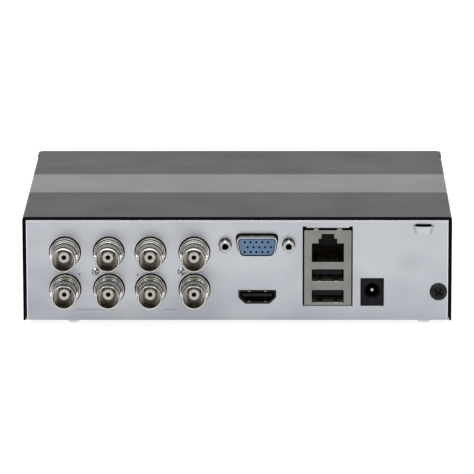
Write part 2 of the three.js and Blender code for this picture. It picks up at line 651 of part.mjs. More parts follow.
function driveBase() {
  const whole = block(DRIVE_LEFT, DRIVE.right, DRIVE_Y0, DRIVE_Y1, DRIVE.bottom, BAY_TOP - 0.1);
  const radius = PLATTER_RADIUS + 0.6;
  const disc = barZ(radius, radius, BAY_FLOOR, BAY_TOP + 1, SPINDLE.x, SPINDLE.y, 40);
  const bay = block(SPINDLE.x + 25, DRIVE.right - 2, DRIVE_Y0 + 8.5, DRIVE_Y1 - 8, BAY_FLOOR, BAY_TOP + 1);
  const underBoard = block(DRIVE_LEFT + 14, DRIVE.right - 2, -1, 44, DRIVE.bottom - 1, DRIVE.bottom + 1.5);
  const mouth = block(
    DRIVE.right - CONNECTOR.depth - 0.5, DRIVE.right + 1, CONNECTOR.y0 - TOUCH, CONNECTOR.y1 + TOUCH,
    DRIVE.bottom - 1, DRIVE.bottom + CONNECTOR.height + TOUCH,
  );
  const screws = driveScrewPlaces().map(([x, y]) => {
    return barZ(1.7, 1.7, DRIVE.bottom - 1, DRIVE.bottom + 3.4, x, y, 12);
  });
  return cut(whole, disc, bay, underBoard, mouth, ...screws);
}

function driveBoard() {
  const low = DRIVE.bottom + 0.1;
  const board = block(DRIVE_LEFT + 14.5, DRIVE.right - 2.5, -0.5, 43.5, low, low + 1);
  const socket = block(
    DRIVE.right - CONNECTOR.depth, DRIVE.right, CONNECTOR.y0, CONNECTOR.y1,
    low, DRIVE.bottom + CONNECTOR.height,
  );
  return join(board, socket);
}

// Hub and disc, turning together on the spindle.
function platter() {
  const profile = [
    [0, BAY_FLOOR + TOUCH], [9, BAY_FLOOR + TOUCH], [9, 7.2], [PLATTER_RADIUS, 7.2], [PLATTER_RADIUS, 8],
    [11, 8], [11, 8.9], [0, 8.9],
  ];
  const made = new THREE.LatheGeometry(profile.map(([r, z]) => new THREE.Vector2(r, z)), 40);
  return made.rotateX(Math.PI / 2).translate(SPINDLE.x, SPINDLE.y, 0);
}

// Arm, pivot and coil, drawn pointing along -Y and turned to the parked angle.
const ARM = { length: 42, parked: 238.25, low: 8.4, high: 9.2 };

function actuator() {
  const arm = outline([[-1, -ARM.length], [1, -ARM.length], [4.2, -5], [4.2, 3], [-4.2, 3], [-4.2, -5]]);
  const coil = outline([[-3.4, 2], [3.4, 2], [4.2, 10], [0, 11], [-4.2, 10]]);
  const hub = barZ(4.6, 4.6, BAY_FLOOR + TOUCH, BAY_TOP - 0.5, 0, 0, 16);
  const made = join(prismZ(arm, ARM.low, ARM.high), prismZ(coil, 7.8, ARM.high), hub);
  return made.rotateZ(THREE.MathUtils.degToRad(ARM.parked - 270)).translate(PIVOT.x, PIVOT.y, 0);
}

piece("hdd_base", driveBase(), MATERIAL.casting);
const lid = block(DRIVE_LEFT, DRIVE.right, DRIVE_Y0, DRIVE_Y1, BAY_TOP, DRIVE_TOP);
piece("hdd_lid", lid, MATERIAL.aluminium);
piece("hdd_platter", platter(), MATERIAL.mirror);
piece("hdd_actuator", actuator(), MATERIAL.aluminium);
piece("hdd_board", driveBoard(), MATERIAL.board);
driveScrewPlaces().forEach(([x, y], i) => {
  const screw = panHead(2.8, 1.1, 1.4, 4.8, 12).rotateX(Math.PI / 2).translate(x, y, -0.05);
  piece("drive_screw_" + (i + 1), screw, MATERIAL.blackScrew);
});

// ---------------------------------------------------------------- drive lead
const PLUG_DEPTH = 7.5;
const SOCKET = { x0: 40, x1: 46, top: 10.8 };
const plug = block(
  DRIVE.right + 0.1, DRIVE.right + PLUG_DEPTH, CONNECTOR.y0 - 1, CONNECTOR.y1 + 1,
  DRIVE.bottom + 0.1, DRIVE.bottom + 6,
);
piece("sata_plug", plug, MATERIAL.blackPlastic);
piece("sata_socket", block(SOCKET.x0, SOCKET.x1, 12, 38, BOARD_TOP, SOCKET.top), MATERIAL.blackPlastic);
const LEAD = [
  [DRIVE.right + PLUG_DEPTH + 0.3, 5.6], [29.6, 6.4], [30.6, 9.6], [32.8, 13.6], [36.6, 15.9], [40.6, 15.2],
  [42.8, 13], [43, SOCKET.top + 0.3],
];
piece("sata_cable", strip(LEAD, 24, 1.4, 25, true, 22), MATERIAL.cable);

export default recorder;
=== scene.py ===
"""Looks for a compact eight-channel video recorder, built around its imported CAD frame.

The frame is in metres; shapes here are worked out in millimetres and scaled once, in piece().
X runs along the connector panel, -Y points out of it, +Y is the front bezel and Z is up.
"""
import math

import bmesh
import bpy
from mathutils import Matrix, Vector

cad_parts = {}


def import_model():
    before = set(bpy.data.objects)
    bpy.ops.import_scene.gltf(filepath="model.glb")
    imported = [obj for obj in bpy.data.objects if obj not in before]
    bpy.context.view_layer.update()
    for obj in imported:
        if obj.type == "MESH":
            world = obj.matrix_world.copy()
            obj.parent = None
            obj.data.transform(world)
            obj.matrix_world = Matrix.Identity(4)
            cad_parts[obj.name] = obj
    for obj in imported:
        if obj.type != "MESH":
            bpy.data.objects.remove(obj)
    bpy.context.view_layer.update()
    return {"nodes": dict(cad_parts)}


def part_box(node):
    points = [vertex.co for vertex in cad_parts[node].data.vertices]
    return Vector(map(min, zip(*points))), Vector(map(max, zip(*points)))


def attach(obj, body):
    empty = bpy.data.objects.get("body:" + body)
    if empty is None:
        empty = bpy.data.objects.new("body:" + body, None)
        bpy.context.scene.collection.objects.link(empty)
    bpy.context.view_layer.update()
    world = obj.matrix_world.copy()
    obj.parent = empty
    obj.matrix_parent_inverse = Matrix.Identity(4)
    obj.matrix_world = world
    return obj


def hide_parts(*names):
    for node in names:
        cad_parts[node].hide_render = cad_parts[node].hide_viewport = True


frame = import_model()
NODES = frame["nodes"]
MM = 0.001

# ---------- places, from the frame, in millimetres


def span(node):
    """Lowest and highest corners of a CAD node, in millimetres."""
    low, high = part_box(node)
    return Vector(low) / MM, Vector(high) / MM


def middle(node):
    low, high = span(node)
    return (low + high) / 2


def across(node):
    """Where a node's middle lies on the connector panel."""
    return middle(node).x, middle(node).z


COVER_LOW, COVER_HIGH = span("top_cover")
BEZEL_LOW, BEZEL_HIGH = span("front_bezel")
BASE_Z = span("foot_rear_left")[1].z  # underside of the base
PANEL_INSET = 0.7
PANEL_SHEET = 0.8
PANEL = COVER_LOW.y + PANEL_INSET  # outer face of the rear panel
PANEL_IN = PANEL + PANEL_SHEET
HALF = COVER_HIGH.x

# ---------- camera, solved from the photograph
CAMERA = (14.75, -1682.3, 416.65)
CAMERA_PITCH = math.radians(-13.165)
CAMERA_YAW = math.radians(0.521)
CAMERA_ROLL = math.radians(-0.114)
CAMERA_LENS = 322.8


def add_camera():
    data = bpy.data.cameras.new("camera")
    data.lens = CAMERA_LENS
    data.sensor_width = 36.0
    data.clip_start = 0.05
    data.clip_end = 50.0
    camera = bpy.data.objects.new("camera", data)
    aim = Matrix.Rotation(CAMERA_YAW, 4, "Z") @ Matrix.Rotation(math.pi / 2 + CAMERA_PITCH, 4, "X")
    aim = aim @ Matrix.Rotation(CAMERA_ROLL, 4, "Z")
    camera.matrix_world = Matrix.Translation(Vector(CAMERA) * MM) @ aim
    bpy.context.scene.collection.objects.link(camera)
    bpy.context.scene.camera = camera


add_camera()

# ---------- material tools


class Surface:
    """A material whose nodes are added one look at a time. Feature sizes are in millimetres."""

    def __init__(self, name, color, roughness, metallic=0.0, ior=1.5, coat=0.0, specular=0.5):
        self.material = bpy.data.materials.new(name)
        self.material.use_nodes = True
        self.material.diffuse_color = (*color, 1.0)
        self.tree = self.material.node_tree
        self.shader = self.tree.nodes["Principled BSDF"]
        self.color = color
        self.roughness = roughness
        self.set("Base Color", (*color, 1.0))
        self.set("Roughness", roughness)
        self.set("Metallic", metallic)
        self.set("IOR", ior)
        self.set("Coat Weight", coat)
        self.set("Specular IOR Level", specular)
        self.place = self.add("ShaderNodeTexCoord").outputs["Object"]
        self.normal = None

    def set(self, socket, value):
        self.shader.inputs[socket].default_value = value

    def add(self, kind, inputs=(), **settings):
        node = self.tree.nodes.new(kind)
        for key, value in settings.items():
            setattr(node, key, value)
        for socket, number in inputs:
            node.inputs[socket].default_value = number
        return node

    def link(self, a, b):
        self.tree.links.new(a, b)

    def stretched(self, stretch):
        mapping = self.add("ShaderNodeMapping", [("Scale", stretch)])
        self.link(self.place, mapping.inputs["Vector"])
        return mapping.outputs["Vector"]

    def noise(self, size, detail=3.0, stretch=None):
        inputs = [("Scale", 1.0 / (size * MM)), ("Detail", detail), ("Roughness", 0.5)]
        node = self.add("ShaderNodeTexNoise", inputs)
        self.link(self.stretched(stretch) if stretch else self.place, node.inputs["Vector"])
        return node.outputs["Fac"]

    def remap(self, value, low, high, start=0.3, stop=0.7):
        limits = [("From Min", start), ("From Max", stop), ("To Min", low), ("To Max", high)]
        node = self.add("ShaderNodeMapRange", limits, clamp=True)
        self.link(value, node.inputs["Value"])
        return node.outputs["Result"]

    def tint(self, value, low_color, high_color, start=0.3, stop=0.7):
        """Colour from low_color to high_color as value goes from start to stop."""
        ramp = self.add("ShaderNodeValToRGB")
        for element, position, color in zip(ramp.color_ramp.elements, (start, stop), (low_color, high_color)):
            element.position = position
            element.color = (*color, 1.0)
        self.link(value, ramp.inputs["Fac"])
        self.link(ramp.outputs["Color"], self.shader.inputs["Base Color"])
        return self

    def vary(self, size, amount):
        """Makes the colour a little darker and lighter in patches of this size."""
        low = tuple(c * (1 - amount) for c in self.color)
        high = tuple(min(1.0, c * (1 + amount)) for c in self.color)
        return self.tint(self.noise(size), low, high)

    def uneven(self, size, amount):
        """Makes the gloss uneven in patches of this size."""
        value = self.remap(self.noise(size), self.roughness - amount, self.roughness + amount)
        self.link(value, self.shader.inputs["Roughness"])
        return self

    def bump(self, height, depth):
        """Raises the surface by height (0 to 1) times depth millimetres."""
        node = self.add("ShaderNodeBump", [("Strength", 1.0), ("Distance", depth * MM)])
        self.link(height, node.inputs["Height"])
        if self.normal is not None:
            self.link(self.normal, node.inputs["Normal"])
        self.normal = node.outputs["Normal"]
        self.link(self.normal, self.shader.inputs["Normal"])
        return self

    def grain(self, size, depth, stretch=None):
        return self.bump(self.noise(size, 2.0, stretch), depth)


def finish(name, color, roughness, vary, uneven, *grains, **settings):
    """A surface with patches in its colour and in its gloss, and any number of grains."""
    surface = Surface(name, color, roughness, **settings)
    surface.vary(*vary).uneven(*uneven)
    for grain in grains:
        surface.grain(*grain)
    return surface


def powder_coat(name, color, roughness, specular):
    surface = finish(name, color, roughness, (18, 0.10), (25, 0.03), (0.55, 0.012), (0.16, 0.004),
                     specular=specular)
    surface.set("Specular Tint", (0.88, 0.90, 1.0, 1.0))
    return surface


def zinc_plate():
    """Zinc with painted shade that makes it darker low down, and cloudy all over."""
    surface = Surface("zinc_plate", (0.375, 0.392, 0.422), 0.31, metallic=1.0)
    split = surface.add("ShaderNodeSeparateXYZ")
    surface.link(surface.place, split.inputs["Vector"])
    # painted shade: the colour grows darker below a height of 32 mm and is darkest at 4 mm
    height = surface.remap(split.outputs["Z"], 0.0, 0.30, 4 * MM, 32 * MM)
    clouds = surface.noise(32, 2.0, (1.0, 1.0, 1.7))
    both = surface.add("ShaderNodeMath", operation="ADD")
    surface.link(height, both.inputs[0])
    surface.link(clouds, both.inputs[1])
    surface.tint(both.outputs["Value"], (0.308, 0.320, 0.349), (0.420, 0.432, 0.461), 0.35, 0.80)
    surface.uneven(14, 0.05)
    return surface.grain(60, 0.12).grain(1.2, 0.003, (1.0, 1.0, 5.0)).grain(0.25, 0.0012)


def fold_highlight_zinc():
    """The same plating, made brighter as a painted highlight where the folds and the tie strap's ends catch
    the light.
    """
    return finish("fold_highlight_zinc", (0.66, 0.67, 0.70), 0.30, (12, 0.08), (8, 0.05),
                  (1.2, 0.003, (6.0, 1.0, 1.0)), (0.25, 0.001), metallic=1.0)


def nickel(name, color, roughness):
    return finish(name, color, roughness, (3.0, 0.12), (1.6, 0.06),
                  (0.5, 0.004, (1.0, 7.0, 1.0)), (2.2, 0.006), metallic=1.0)


def pressed_tin():
    return finish("pressed_tin", (0.205, 0.20, 0.19), 0.40, (6, 0.10), (3.0, 0.07),
                  (0.35, 0.004, (6.0, 1.0, 1.0)), (9, 0.03), metallic=1.0)


def moulded(name, color, roughness, grain_size=0.25, grain_depth=0.006, specular=0.5):
    return finish(name, color, roughness, (5, 0.10), (3.5, 0.05), (grain_size, grain_depth),
                  specular=specular)


def clear_plastic():
    surface = finish("clear_plastic", (0.86, 0.90, 0.90), 0.12, (2.5, 0.04), (1.5, 0.04), ior=1.49)
    surface.set("Transmission Weight", 0.75)
    return surface


def solder_mask():
    """Green lacquer over copper tracks that run in two directions."""
    surface = Surface("solder_mask", (0.012, 0.10, 0.05), 0.32, coat=0.25)
    sizes = [("Scale", 1.0 / (14 * MM)), ("Mortar Size", 0.02), ("Brick Width", 0.7), ("Row Height", 0.11),
             ("Mortar Smooth", 0.3)]
    tracks = surface.add("ShaderNodeTexBrick", sizes, offset=0.37, squash=1.0)
    bend = surface.add("ShaderNodeMixRGB", [("Fac", 1.0)], blend_type="ADD")
    wobble = surface.add("ShaderNodeTexVoronoi", [("Scale", 1.0 / (9 * MM))], feature="F1")
    surface.link(surface.place, wobble.inputs["Vector"])
    surface.link(surface.place, bend.inputs["Color1"])
    scaled = surface.add("ShaderNodeVectorMath", [("Scale", 0.006)], operation="SCALE")
    surface.link(wobble.outputs["Color"], scaled.inputs["Vector"])
    surface.link(scaled.outputs["Vector"], bend.inputs["Color2"])
    surface.link(bend.outputs["Color"], tracks.inputs["Vector"])
    surface.tint(tracks.outputs["Fac"], (0.010, 0.085, 0.042), (0.03, 0.19, 0.085), 0.2, 0.8)
    return surface.uneven(4, 0.05).bump(tracks.outputs["Fac"], 0.03)


def aluminium(name, color, roughness, stretch, depth):
    return finish(name, color, roughness, (7, 0.07), (4, 0.05), (0.3, depth, stretch), (12, 0.03),
                  metallic=1.0)


LOOK = {
    "coat": powder_coat("black_coat", (0.0028, 0.0028, 0.0058), 0.40, 0.15),
    # painted shade: the same black coat made darker, for the cover's rear cut edge
    "cut_edge_shade": powder_coat("black_coat_painted_shade", (0.0008, 0.0008, 0.0014), 0.5, 0.03),
    "band": powder_coat("black_band", (0.041, 0.042, 0.046), 0.30, 0.21),
    "bezel": powder_coat("bezel_plastic", (0.005, 0.005, 0.006), 0.40, 0.13),
    "zinc": zinc_plate(),
    # painted highlight: brighter zinc for the panel's folds and the tie strap's ends
    "fold": fold_highlight_zinc(),
    "nickel": nickel("nickel_plate", (0.65, 0.625, 0.585), 0.14),
    # painted shade: a darker copy of the nickel for the inside of the jacks' barrels
    "barrel": nickel("barrel_painted_shade", (0.35, 0.325, 0.285), 0.16),
    "post": nickel("zinc_post", (0.36, 0.36, 0.36), 0.28),
    "steel": nickel("bright_steel", (0.50, 0.505, 0.49), 0.20),
    "tin": pressed_tin(),
    "black": moulded("black_moulding", (0.005, 0.005, 0.007), 0.42, specular=0.10),
    "cavity": moulded("socket_cavity", (0.17, 0.155, 0.14), 0.6, specular=0.2),
    "recess": moulded("plug_recess", (0.026, 0.024, 0.022), 0.6, specular=0.2),
    "screw": moulded("black_oxide", (0.006, 0.007, 0.008), 0.36, 0.4, 0.008, specular=0.14),
    "ivory": moulded("ivory_moulding", (0.93, 0.88, 0.82), 0.42, 0.3, 0.004),
    "blue": moulded("blue_moulding", (0.082, 0.146, 0.246), 0.45, 0.3, 0.005, specular=0.32),
    "clear": clear_plastic(),
    "rubber": finish("foot_rubber", (0.70, 0.70, 0.69), 0.78, (2.0, 0.08), (2.5, 0.06), (0.35, 0.02)),
    "mask": solder_mask(),
    "chip": moulded("chip_epoxy", (0.016, 0.016, 0.017), 0.55, 0.18, 0.006),
    "fins": aluminium("milled_aluminium", (0.36, 0.365, 0.37), 0.34, (1.0, 8.0, 1.0), 0.006),
    "lid": aluminium("pressed_aluminium", (0.34, 0.345, 0.35), 0.38, (8.0, 1.0, 1.0), 0.004),
    "casting": aluminium("cast_aluminium", (0.30, 0.31, 0.32), 0.50, (1.0, 1.0, 1.0), 0.03),
    "mirror": finish("platter_mirror", (0.42, 0.425, 0.43), 0.06, (9, 0.03), (6, 0.02), metallic=1.0),
    "gold": finish("gold_plate", (0.83, 0.60, 0.24), 0.26, (1.0, 0.10), (0.8, 0.06), (0.2, 0.002),
                   metallic=1.0),
    "bore": nickel("shaded_bore", (0.014, 0.013, 0.012), 0.5),
    # painted shade: tin made nearly black, for the HDMI shell that lies in shadow; the power inlet's spring
    # uses it too
    "tin_painted_shade": nickel("tin_painted_shade", (0.042, 0.042, 0.045), 0.42),
    "ink": finish("printed_ink", (0.23, 0.24, 0.25), 0.5, (1.5, 0.15), (1.0, 0.06), (0.12, 0.003)),
    "cable": moulded("cable_jacket", (0.022, 0.022, 0.025), 0.55, 0.5, 0.01),
}

# ---------- mesh tools (millimetres)


def linked(data, name="part"):
    thing = bpy.data.objects.new(name, data)
    bpy.context.scene.collection.objects.link(thing)
    return thing


def as_object(bm, name="part"):
    mesh = bpy.data.meshes.new(name)
    bm.to_mesh(mesh)
    bm.free()
    return linked(mesh, name)


def from_bmesh(bm, name="part"):
    """A mesh object from a closed shape, with its faces turned outwards."""
    bmesh.ops.recalc_face_normals(bm, faces=bm.faces)
    if bm.calc_volume(signed=True) < 0:
        bmesh.ops.reverse_faces(bm, faces=bm.faces)
    return as_object(bm, name)


def evaluated_mesh(thing):
    """What a curve, or a mesh with its modifiers, amounts to."""
    bpy.context.view_layer.update()
    ready = thing.evaluated_get(bpy.context.evaluated_depsgraph_get())
    return bpy.data.meshes.new_from_object(ready)


def applied(thing):
    """Replaces a mesh by what its modifiers make of it."""
    mesh = evaluated_mesh(thing)
    thing.modifiers.clear()
    thing.data = mesh
    return thing


def joined(*things):
    """One object holding all of these, with their vertices kept apart."""
    bm = bmesh.new()
    for thing in things:
        bm.from_mesh(thing.data)
        bpy.data.objects.remove(thing)
    return as_object(bm)


def boolean(thing, tool, operation="DIFFERENCE"):
    modifier = thing.modifiers.new("cut", "BOOLEAN")
    modifier.operation = operation
    modifier.solver = "MANIFOLD"
    modifier.object = tool
    applied(thing)
    bpy.data.objects.remove(tool)
    return thing


def block(x0, x1, y0, y1, z0, z1, edge=0.0, segments=2):
    bm = bmesh.new()
    bmesh.ops.create_cube(bm, size=1.0)
    size = Vector((x1 - x0, y1 - y0, z1 - z0))
    centre = Vector(((x0 + x1) / 2, (y0 + y1) / 2, (z0 + z1) / 2))
    for vert in bm.verts:
        vert.co = Vector(v * s for v, s in zip(vert.co, size)) + centre
    if edge > 0:
        bmesh.ops.bevel(bm, geom=list(bm.edges), offset=edge, segments=segments, profile=0.6, affect="EDGES")
    return from_bmesh(bm)


def block_at(x, y, half_x, half_y, low, high, edge=0.0, segments=2):
    """A block that stands on the middle x, y and reaches half_x and half_y to each side."""
    return block(x - half_x, x + half_x, y - half_y, y + half_y, low, high, edge, segments)


TURN = {
    "X": lambda u, v, w: (w, u, v),
    "Y": lambda u, v, w: (u, w, v),
    "Z": lambda u, v, w: (u, v, w),
}


def lathe(profile, centre, axis="Y", sides=48):
    """Turns (radius, distance) points about the axis through centre. The profile closes on itself."""
    bm = bmesh.new()
    rings = []
    for radius, distance in profile:
        if radius < 1e-6:
            points = [(0.0, 0.0)]
        else:
            points = circle(0.0, 0.0, radius, sides)
        rings.append([bm.verts.new(Vector(TURN[axis](u, v, distance)) + Vector(centre)) for u, v in points])
    for a, b in zip(rings, rings[1:] + rings[:1]):
        if len(a) == 1 and len(b) == 1:
            continue
        for i in range(sides):
            j = (i + 1) % sides
            corners = [a[i % len(a)], a[j % len(a)], b[j % len(b)], b[i % len(b)]]
            bm.faces.new(list(dict.fromkeys(corners)))
    return from_bmesh(bm)


def soft(points, radius, steps=3, closed=True):
    """The polyline with its corners rounded off by radius, or less where its sides are short.
    radius may be one number or a list with one for each corner."""
    count = len(points)
    radii = radius if isinstance(radius, list) else [radius] * count
    out = []
    for i, point in enumerate(points):
        here = Vector(point)
        if radii[i] == 0 or (not closed and i in (0, count - 1)):
            out.append(tuple(here))
            continue
        before = Vector(points[i - 1]) - here
        after = Vector(points[(i + 1) % count]) - here
        reach = min(radii[i], before.length * 0.49, after.length * 0.49)
        start = here + before.normalized() * reach
        stop = here + after.normalized() * reach
        for k in range(steps + 1):
            t = k / steps
            out.append(tuple(start * (1 - t) ** 2 + here * 2 * t * (1 - t) + stop * t * t))
    return out


def rectangle(u0, u1, v0, v1, radius=0.0, steps=4):
    corners = [(u0, v0), (u1, v0), (u1, v1), (u0, v1)]
    return soft(corners, radius, steps) if radius > 0 else corners


def outline_of(node, margin, radius=0.0):
    """The rectangle round a node as the panel shows it, larger by margin all round."""
    low, high = span(node)
    return rectangle(low.x - margin, high.x + margin, low.z - margin, high.z + margin, radius)


def circle(u, v, radius, sides=32):
    angles = [math.tau * i / sides for i in range(sides)]
    return [(u + radius * math.cos(a), v + radius * math.sin(a)) for a in angles]


def plate(outlines, low, high, edge=0.0, axis="Y"):
    """A plate from low to high along the axis; the first outline is its rim and the others are holes."""
    curve = bpy.data.curves.new("plate", "CURVE")
    curve.dimensions = "2D"
    curve.fill_mode = "BOTH"
    curve.extrude = (high - low) / 2 - edge
    curve.bevel_depth = edge
    curve.bevel_resolution = 1
    curve.offset = -edge
    for outline in outlines:
        spline = curve.splines.new("POLY")
        spline.points.add(len(outline) - 1)
        for target, (u, v) in zip(spline.points, outline):
            target.co = (u, v, 0.0, 1.0)
        spline.use_cyclic_u = True
    holder = linked(curve, "plate")
    mesh = evaluated_mesh(holder)
    bpy.data.objects.remove(holder)
    bm = bmesh.new()
    bm.from_mesh(mesh)
    bmesh.ops.remove_doubles(bm, verts=bm.verts, dist=1e-4)
    for vert in bm.verts:
        u, v, w = vert.co
        vert.co = TURN[axis](u, v, w + (low + high) / 2)
    return from_bmesh(bm)


def tube(path, radius, sides=12, flat=1.0):
    """A closed tube along the points; flat squeezes its section in the direction nearest to up."""
    bm = bmesh.new()
    rings = []
    for i, point in enumerate(path):
        before = Vector(path[max(0, i - 1)])
        after = Vector(path[min(len(path) - 1, i + 1)])
        along = (after - before).normalized()
        side = along.cross(Vector((0, 0, 1))).normalized()
        up = side.cross(along).normalized()
        section = circle(0, 0, radius, sides)
        rings.append([bm.verts.new(Vector(point) + side * u + up * flat * v) for u, v in section])
    for a, b in zip(rings, rings[1:]):
        for i in range(sides):
            j = (i + 1) % sides
            bm.faces.new((a[i], a[j], b[j], b[i]))
    bm.faces.new(rings[0])
    bm.faces.new(rings[-1])
    return from_bmesh(bm)


def leaf_spring(x, y, z, length, rise, steps, half_width, flat):
    """A contact leaf that runs inwards from the panel and arches by rise in its middle."""
    shares = [i / steps for i in range(steps + 1)]
    path = [(x, y + length * t, z + rise * math.sin(math.pi * t) ** 2) for t in shares]
    return tube(path, half_width, 10, flat)


def refined(node, width, segments=2):
    """A copy of a CAD node with its flat faces merged and its sharp edges rounded.
    width is the rounding in millimetres, or a function of an edge's middle and direction that gives it."""
    bm = bmesh.new()
    bm.from_mesh(NODES[node].data)
    for vert in bm.verts:
        vert.co /= MM
    bmesh.ops.remove_doubles(bm, verts=bm.verts, dist=1e-3)
    bmesh.ops.dissolve_limit(bm, angle_limit=math.radians(0.6), verts=bm.verts, edges=bm.edges)
    weight = bm.edges.layers.float.new("bevel_weight_edge")
    widths = {}
    for edge in bm.edges:
        if len(edge.link_faces) == 2 and edge.calc_face_angle(0.0) > math.radians(28):
            a, b = (v.co for v in edge.verts)
            widths[edge] = width((a + b) / 2, (b - a).normalized()) if callable(width) else width
    widest = max(widths.values())
    for edge, own_width in widths.items():
        edge[weight] = own_width / widest
    thing = from_bmesh(bm)
    modifier = thing.modifiers.new("bevel", "BEVEL")
    modifier.width = widest
    modifier.segments = segments
    modifier.limit_method = "WEIGHT"
    modifier.use_clamp_overlap = True
    return applied(thing)


def shaded(thing, angle):
    """Smooth shading that keeps the flat faces flat."""
    for polygon in thing.data.polygons:
        polygon.use_smooth = True
    thing.data.set_sharp_from_angle(angle=math.radians(angle))
    modifier = thing.modifiers.new("flat", "WEIGHTED_NORMAL")
    modifier.keep_sharp = True
    applied(thing)


def give_looks(thing, main, *others):
    """Gives each face the main look, or another one whose test its middle and normal pass."""
    thing.data.materials.clear()
    for look in (main, *(look for look, test in others)):
        thing.data.materials.append(LOOK[look].material)
    for polygon in thing.data.polygons:
        for index, (look, test) in enumerate(others, 1):
            if test(polygon.center, polygon.normal):
                polygon.material_index = index


def piece(name, thing, looks, body="chassis", replaces=(), angle=32):
    """Names a finished shape, gives it its looks, scales it to metres and hangs it on its body.
    looks is one look, or a tuple of the main look and (look, test) pairs."""
    give_looks(thing, *([looks] if isinstance(looks, str) else looks))
    shaded(thing, angle)
    thing.name = name
    thing.data.name = name
    thing.data.transform(Matrix.Scale(MM, 4))
    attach(thing, body)
    if replaces:
        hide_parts(*replaces)


def detailed(node, thing, looks, body="chassis"):
    """A piece that takes the place of the CAD node it is named after."""
    piece(f"{node}_detailed", thing, looks, body, [node])


def inside_bore(x, z, radius, front, back):
    """A test for the faces that lie within radius of an axis along Y, between two depths."""
    return lambda place, normal: math.hypot(place.x - x, place.z - z) < radius and front < place.y < back


# ---------- pieces that keep their CAD shape


def bezel_edge(centre, direction):
    """Soft where the front face meets the top and the underside, crisp elsewhere."""
    outer = centre.y > BEZEL_HIGH.y - 0.05 and abs(direction.y) < 0.9
    return 0.55 if outer and (centre.z > BEZEL_HIGH.z - 0.05 or centre.z < BEZEL_LOW.z + 0.05) else 0.18


ROUNDED = {  # node, look, slot, rounding of its edges, steps of the rounding
    "jack_blocks": (
        ("bnc_block_left", "black", "connector_plastic", 0.25, 2),
        ("bnc_block_right", "black", "connector_plastic", 0.25, 2)),
    "riser": (
        ("vga_riser", "black", "connector_plastic", 0.3, 2),),
    "front": (
        ("front_bezel", "bezel", "black_plastic", bezel_edge, 3),
        ("light_pipe", "clear", "clear_plastic", 0.2, 3),
        ("led_board", "mask", "circuit_board", 0.1, 2)),
    "inside": (
        ("main_board", "mask", "circuit_board", 0.12, 2),
        ("hdd_board", "mask", "circuit_board", 0.1, 2),
        ("soc_chip", "chip", "chip_package", 0.25, 2),
        ("soc_heatsink", "fins", "bare_aluminium", 0.18, 2),
        ("cell_holder", "black", "connector_plastic", 0.3, 2),
        ("backup_cell", "lid", "tinned_steel", 0.3, 2),
        ("front_ribbon", "cable", "cable_jacket", 0.12, 2),
        ("sata_cable", "cable", "cable_jacket", 0.3, 2),
        ("sata_plug", "black", "connector_plastic", 0.35, 2),
        ("sata_socket", "black", "connector_plastic", 0.25, 2),
        ("hdd_base", "casting", "drive_casting", 0.4, 2),
        ("hdd_lid", "lid", "bare_aluminium", 0.25, 2),
        ("hdd_platter", "mirror", "platter_mirror", 0.12, 2),
        ("hdd_actuator", "lid", "bare_aluminium", 0.12, 2)),
}
MOVING = {"hdd_platter": "platter", "hdd_actuator": "actuator"}  # the bodies of those that move


def rounded(group):
    for node, look, slot, width, segments in ROUNDED[group]:
        detailed(node, refined(node, width, segments), look, MOVING.get(node, "chassis"))


# ---------- cover
COVER_SHEET = 0.9
COVER_BEND = 1.4
BAND = (44.4, 78.6)  # the paler band, from the cover's rear edge
# heights here and below are from the base's underside
VENT = {"first": -30.0, "pitch": 6.0, "count": 12, "low": 15.0, "high": 29.0, "half": 1.0, "corner": 0.95}
TAB = {"left": 73.5, "low": 7.0, "high": 20.0, "slot_half": 1.8}


def vent_tools():
    tools = []
    for i in range(VENT["count"]):
        y = VENT["first"] + i * VENT["pitch"]
        low, high = VENT["low"] + BASE_Z, VENT["high"] + BASE_Z
        slot = rectangle(y - VENT["half"], y + VENT["half"], low, high, VENT["corner"], 5)
        tools.append(plate([slot], -HALF - 2, HALF + 2, axis="X"))
    return joined(*tools)


def cover_tab():
    """The tab behind the panel that the cover screw pinches; its slot is open downwards."""
    x, z = across("cover_screw")
    low, high = TAB["low"] + BASE_Z, TAB["high"] + BASE_Z
    left, right, r = TAB["left"], HALF - COVER_SHEET / 2, TAB["slot_half"]
    angles = [math.radians(degrees) for degrees in range(180, -1, -15)]
    arc = [(x + r * math.cos(a), z + r * math.sin(a)) for a in angles]
    outline = [(left, low), (x - r, low), *arc, (x + r, low), (right, low), (right, high), (left, high)]
    return plate([outline], PANEL_IN + 0.3, PANEL_IN + 0.3 + COVER_SHEET, 0.12)


def top_cover():
    top, low, inner, rear = COVER_HIGH.z, COVER_LOW.z, HALF - COVER_SHEET, COVER_LOW.y
    outer = soft([(-HALF, low), (-HALF, top), (HALF, top), (HALF, low)], COVER_BEND, 6, closed=False)
    inside = soft([(inner, low), (inner, top - COVER_SHEET), (-inner, top - COVER_SHEET), (-inner, low)],
                  COVER_BEND - COVER_SHEET + 0.2, 4, closed=False)
    shell = plate([outer + inside], rear, COVER_HIGH.y, 0.14)
    boolean(shell, vent_tools())
    whole = joined(shell, cover_tab())
    bm = bmesh.new()
    bm.from_mesh(whole.data)
    for distance in BAND:  # so that faces end where the band does
        everything = list(bm.verts) + list(bm.edges) + list(bm.faces)
        bmesh.ops.bisect_plane(bm, geom=everything, plane_co=(0, rear + distance, 0), plane_no=(0, 1, 0))
    bm.to_mesh(whole.data)
    bm.free()

    def in_band(place, normal):
        return BAND[0] < place.y - rear < BAND[1] and place.z > top - COVER_BEND and normal.z > 0.02

    # Painted shade: the rear cut edge gets the darker copy of the coat.
    def on_cut_edge(place, normal):
        return place.y < rear + 0.2 and normal.y < -0.5

    looks = ("coat", ("band", in_band), ("cut_edge_shade", on_cut_edge))
    piece("cover_shell", whole, looks, "cover", ["top_cover"])


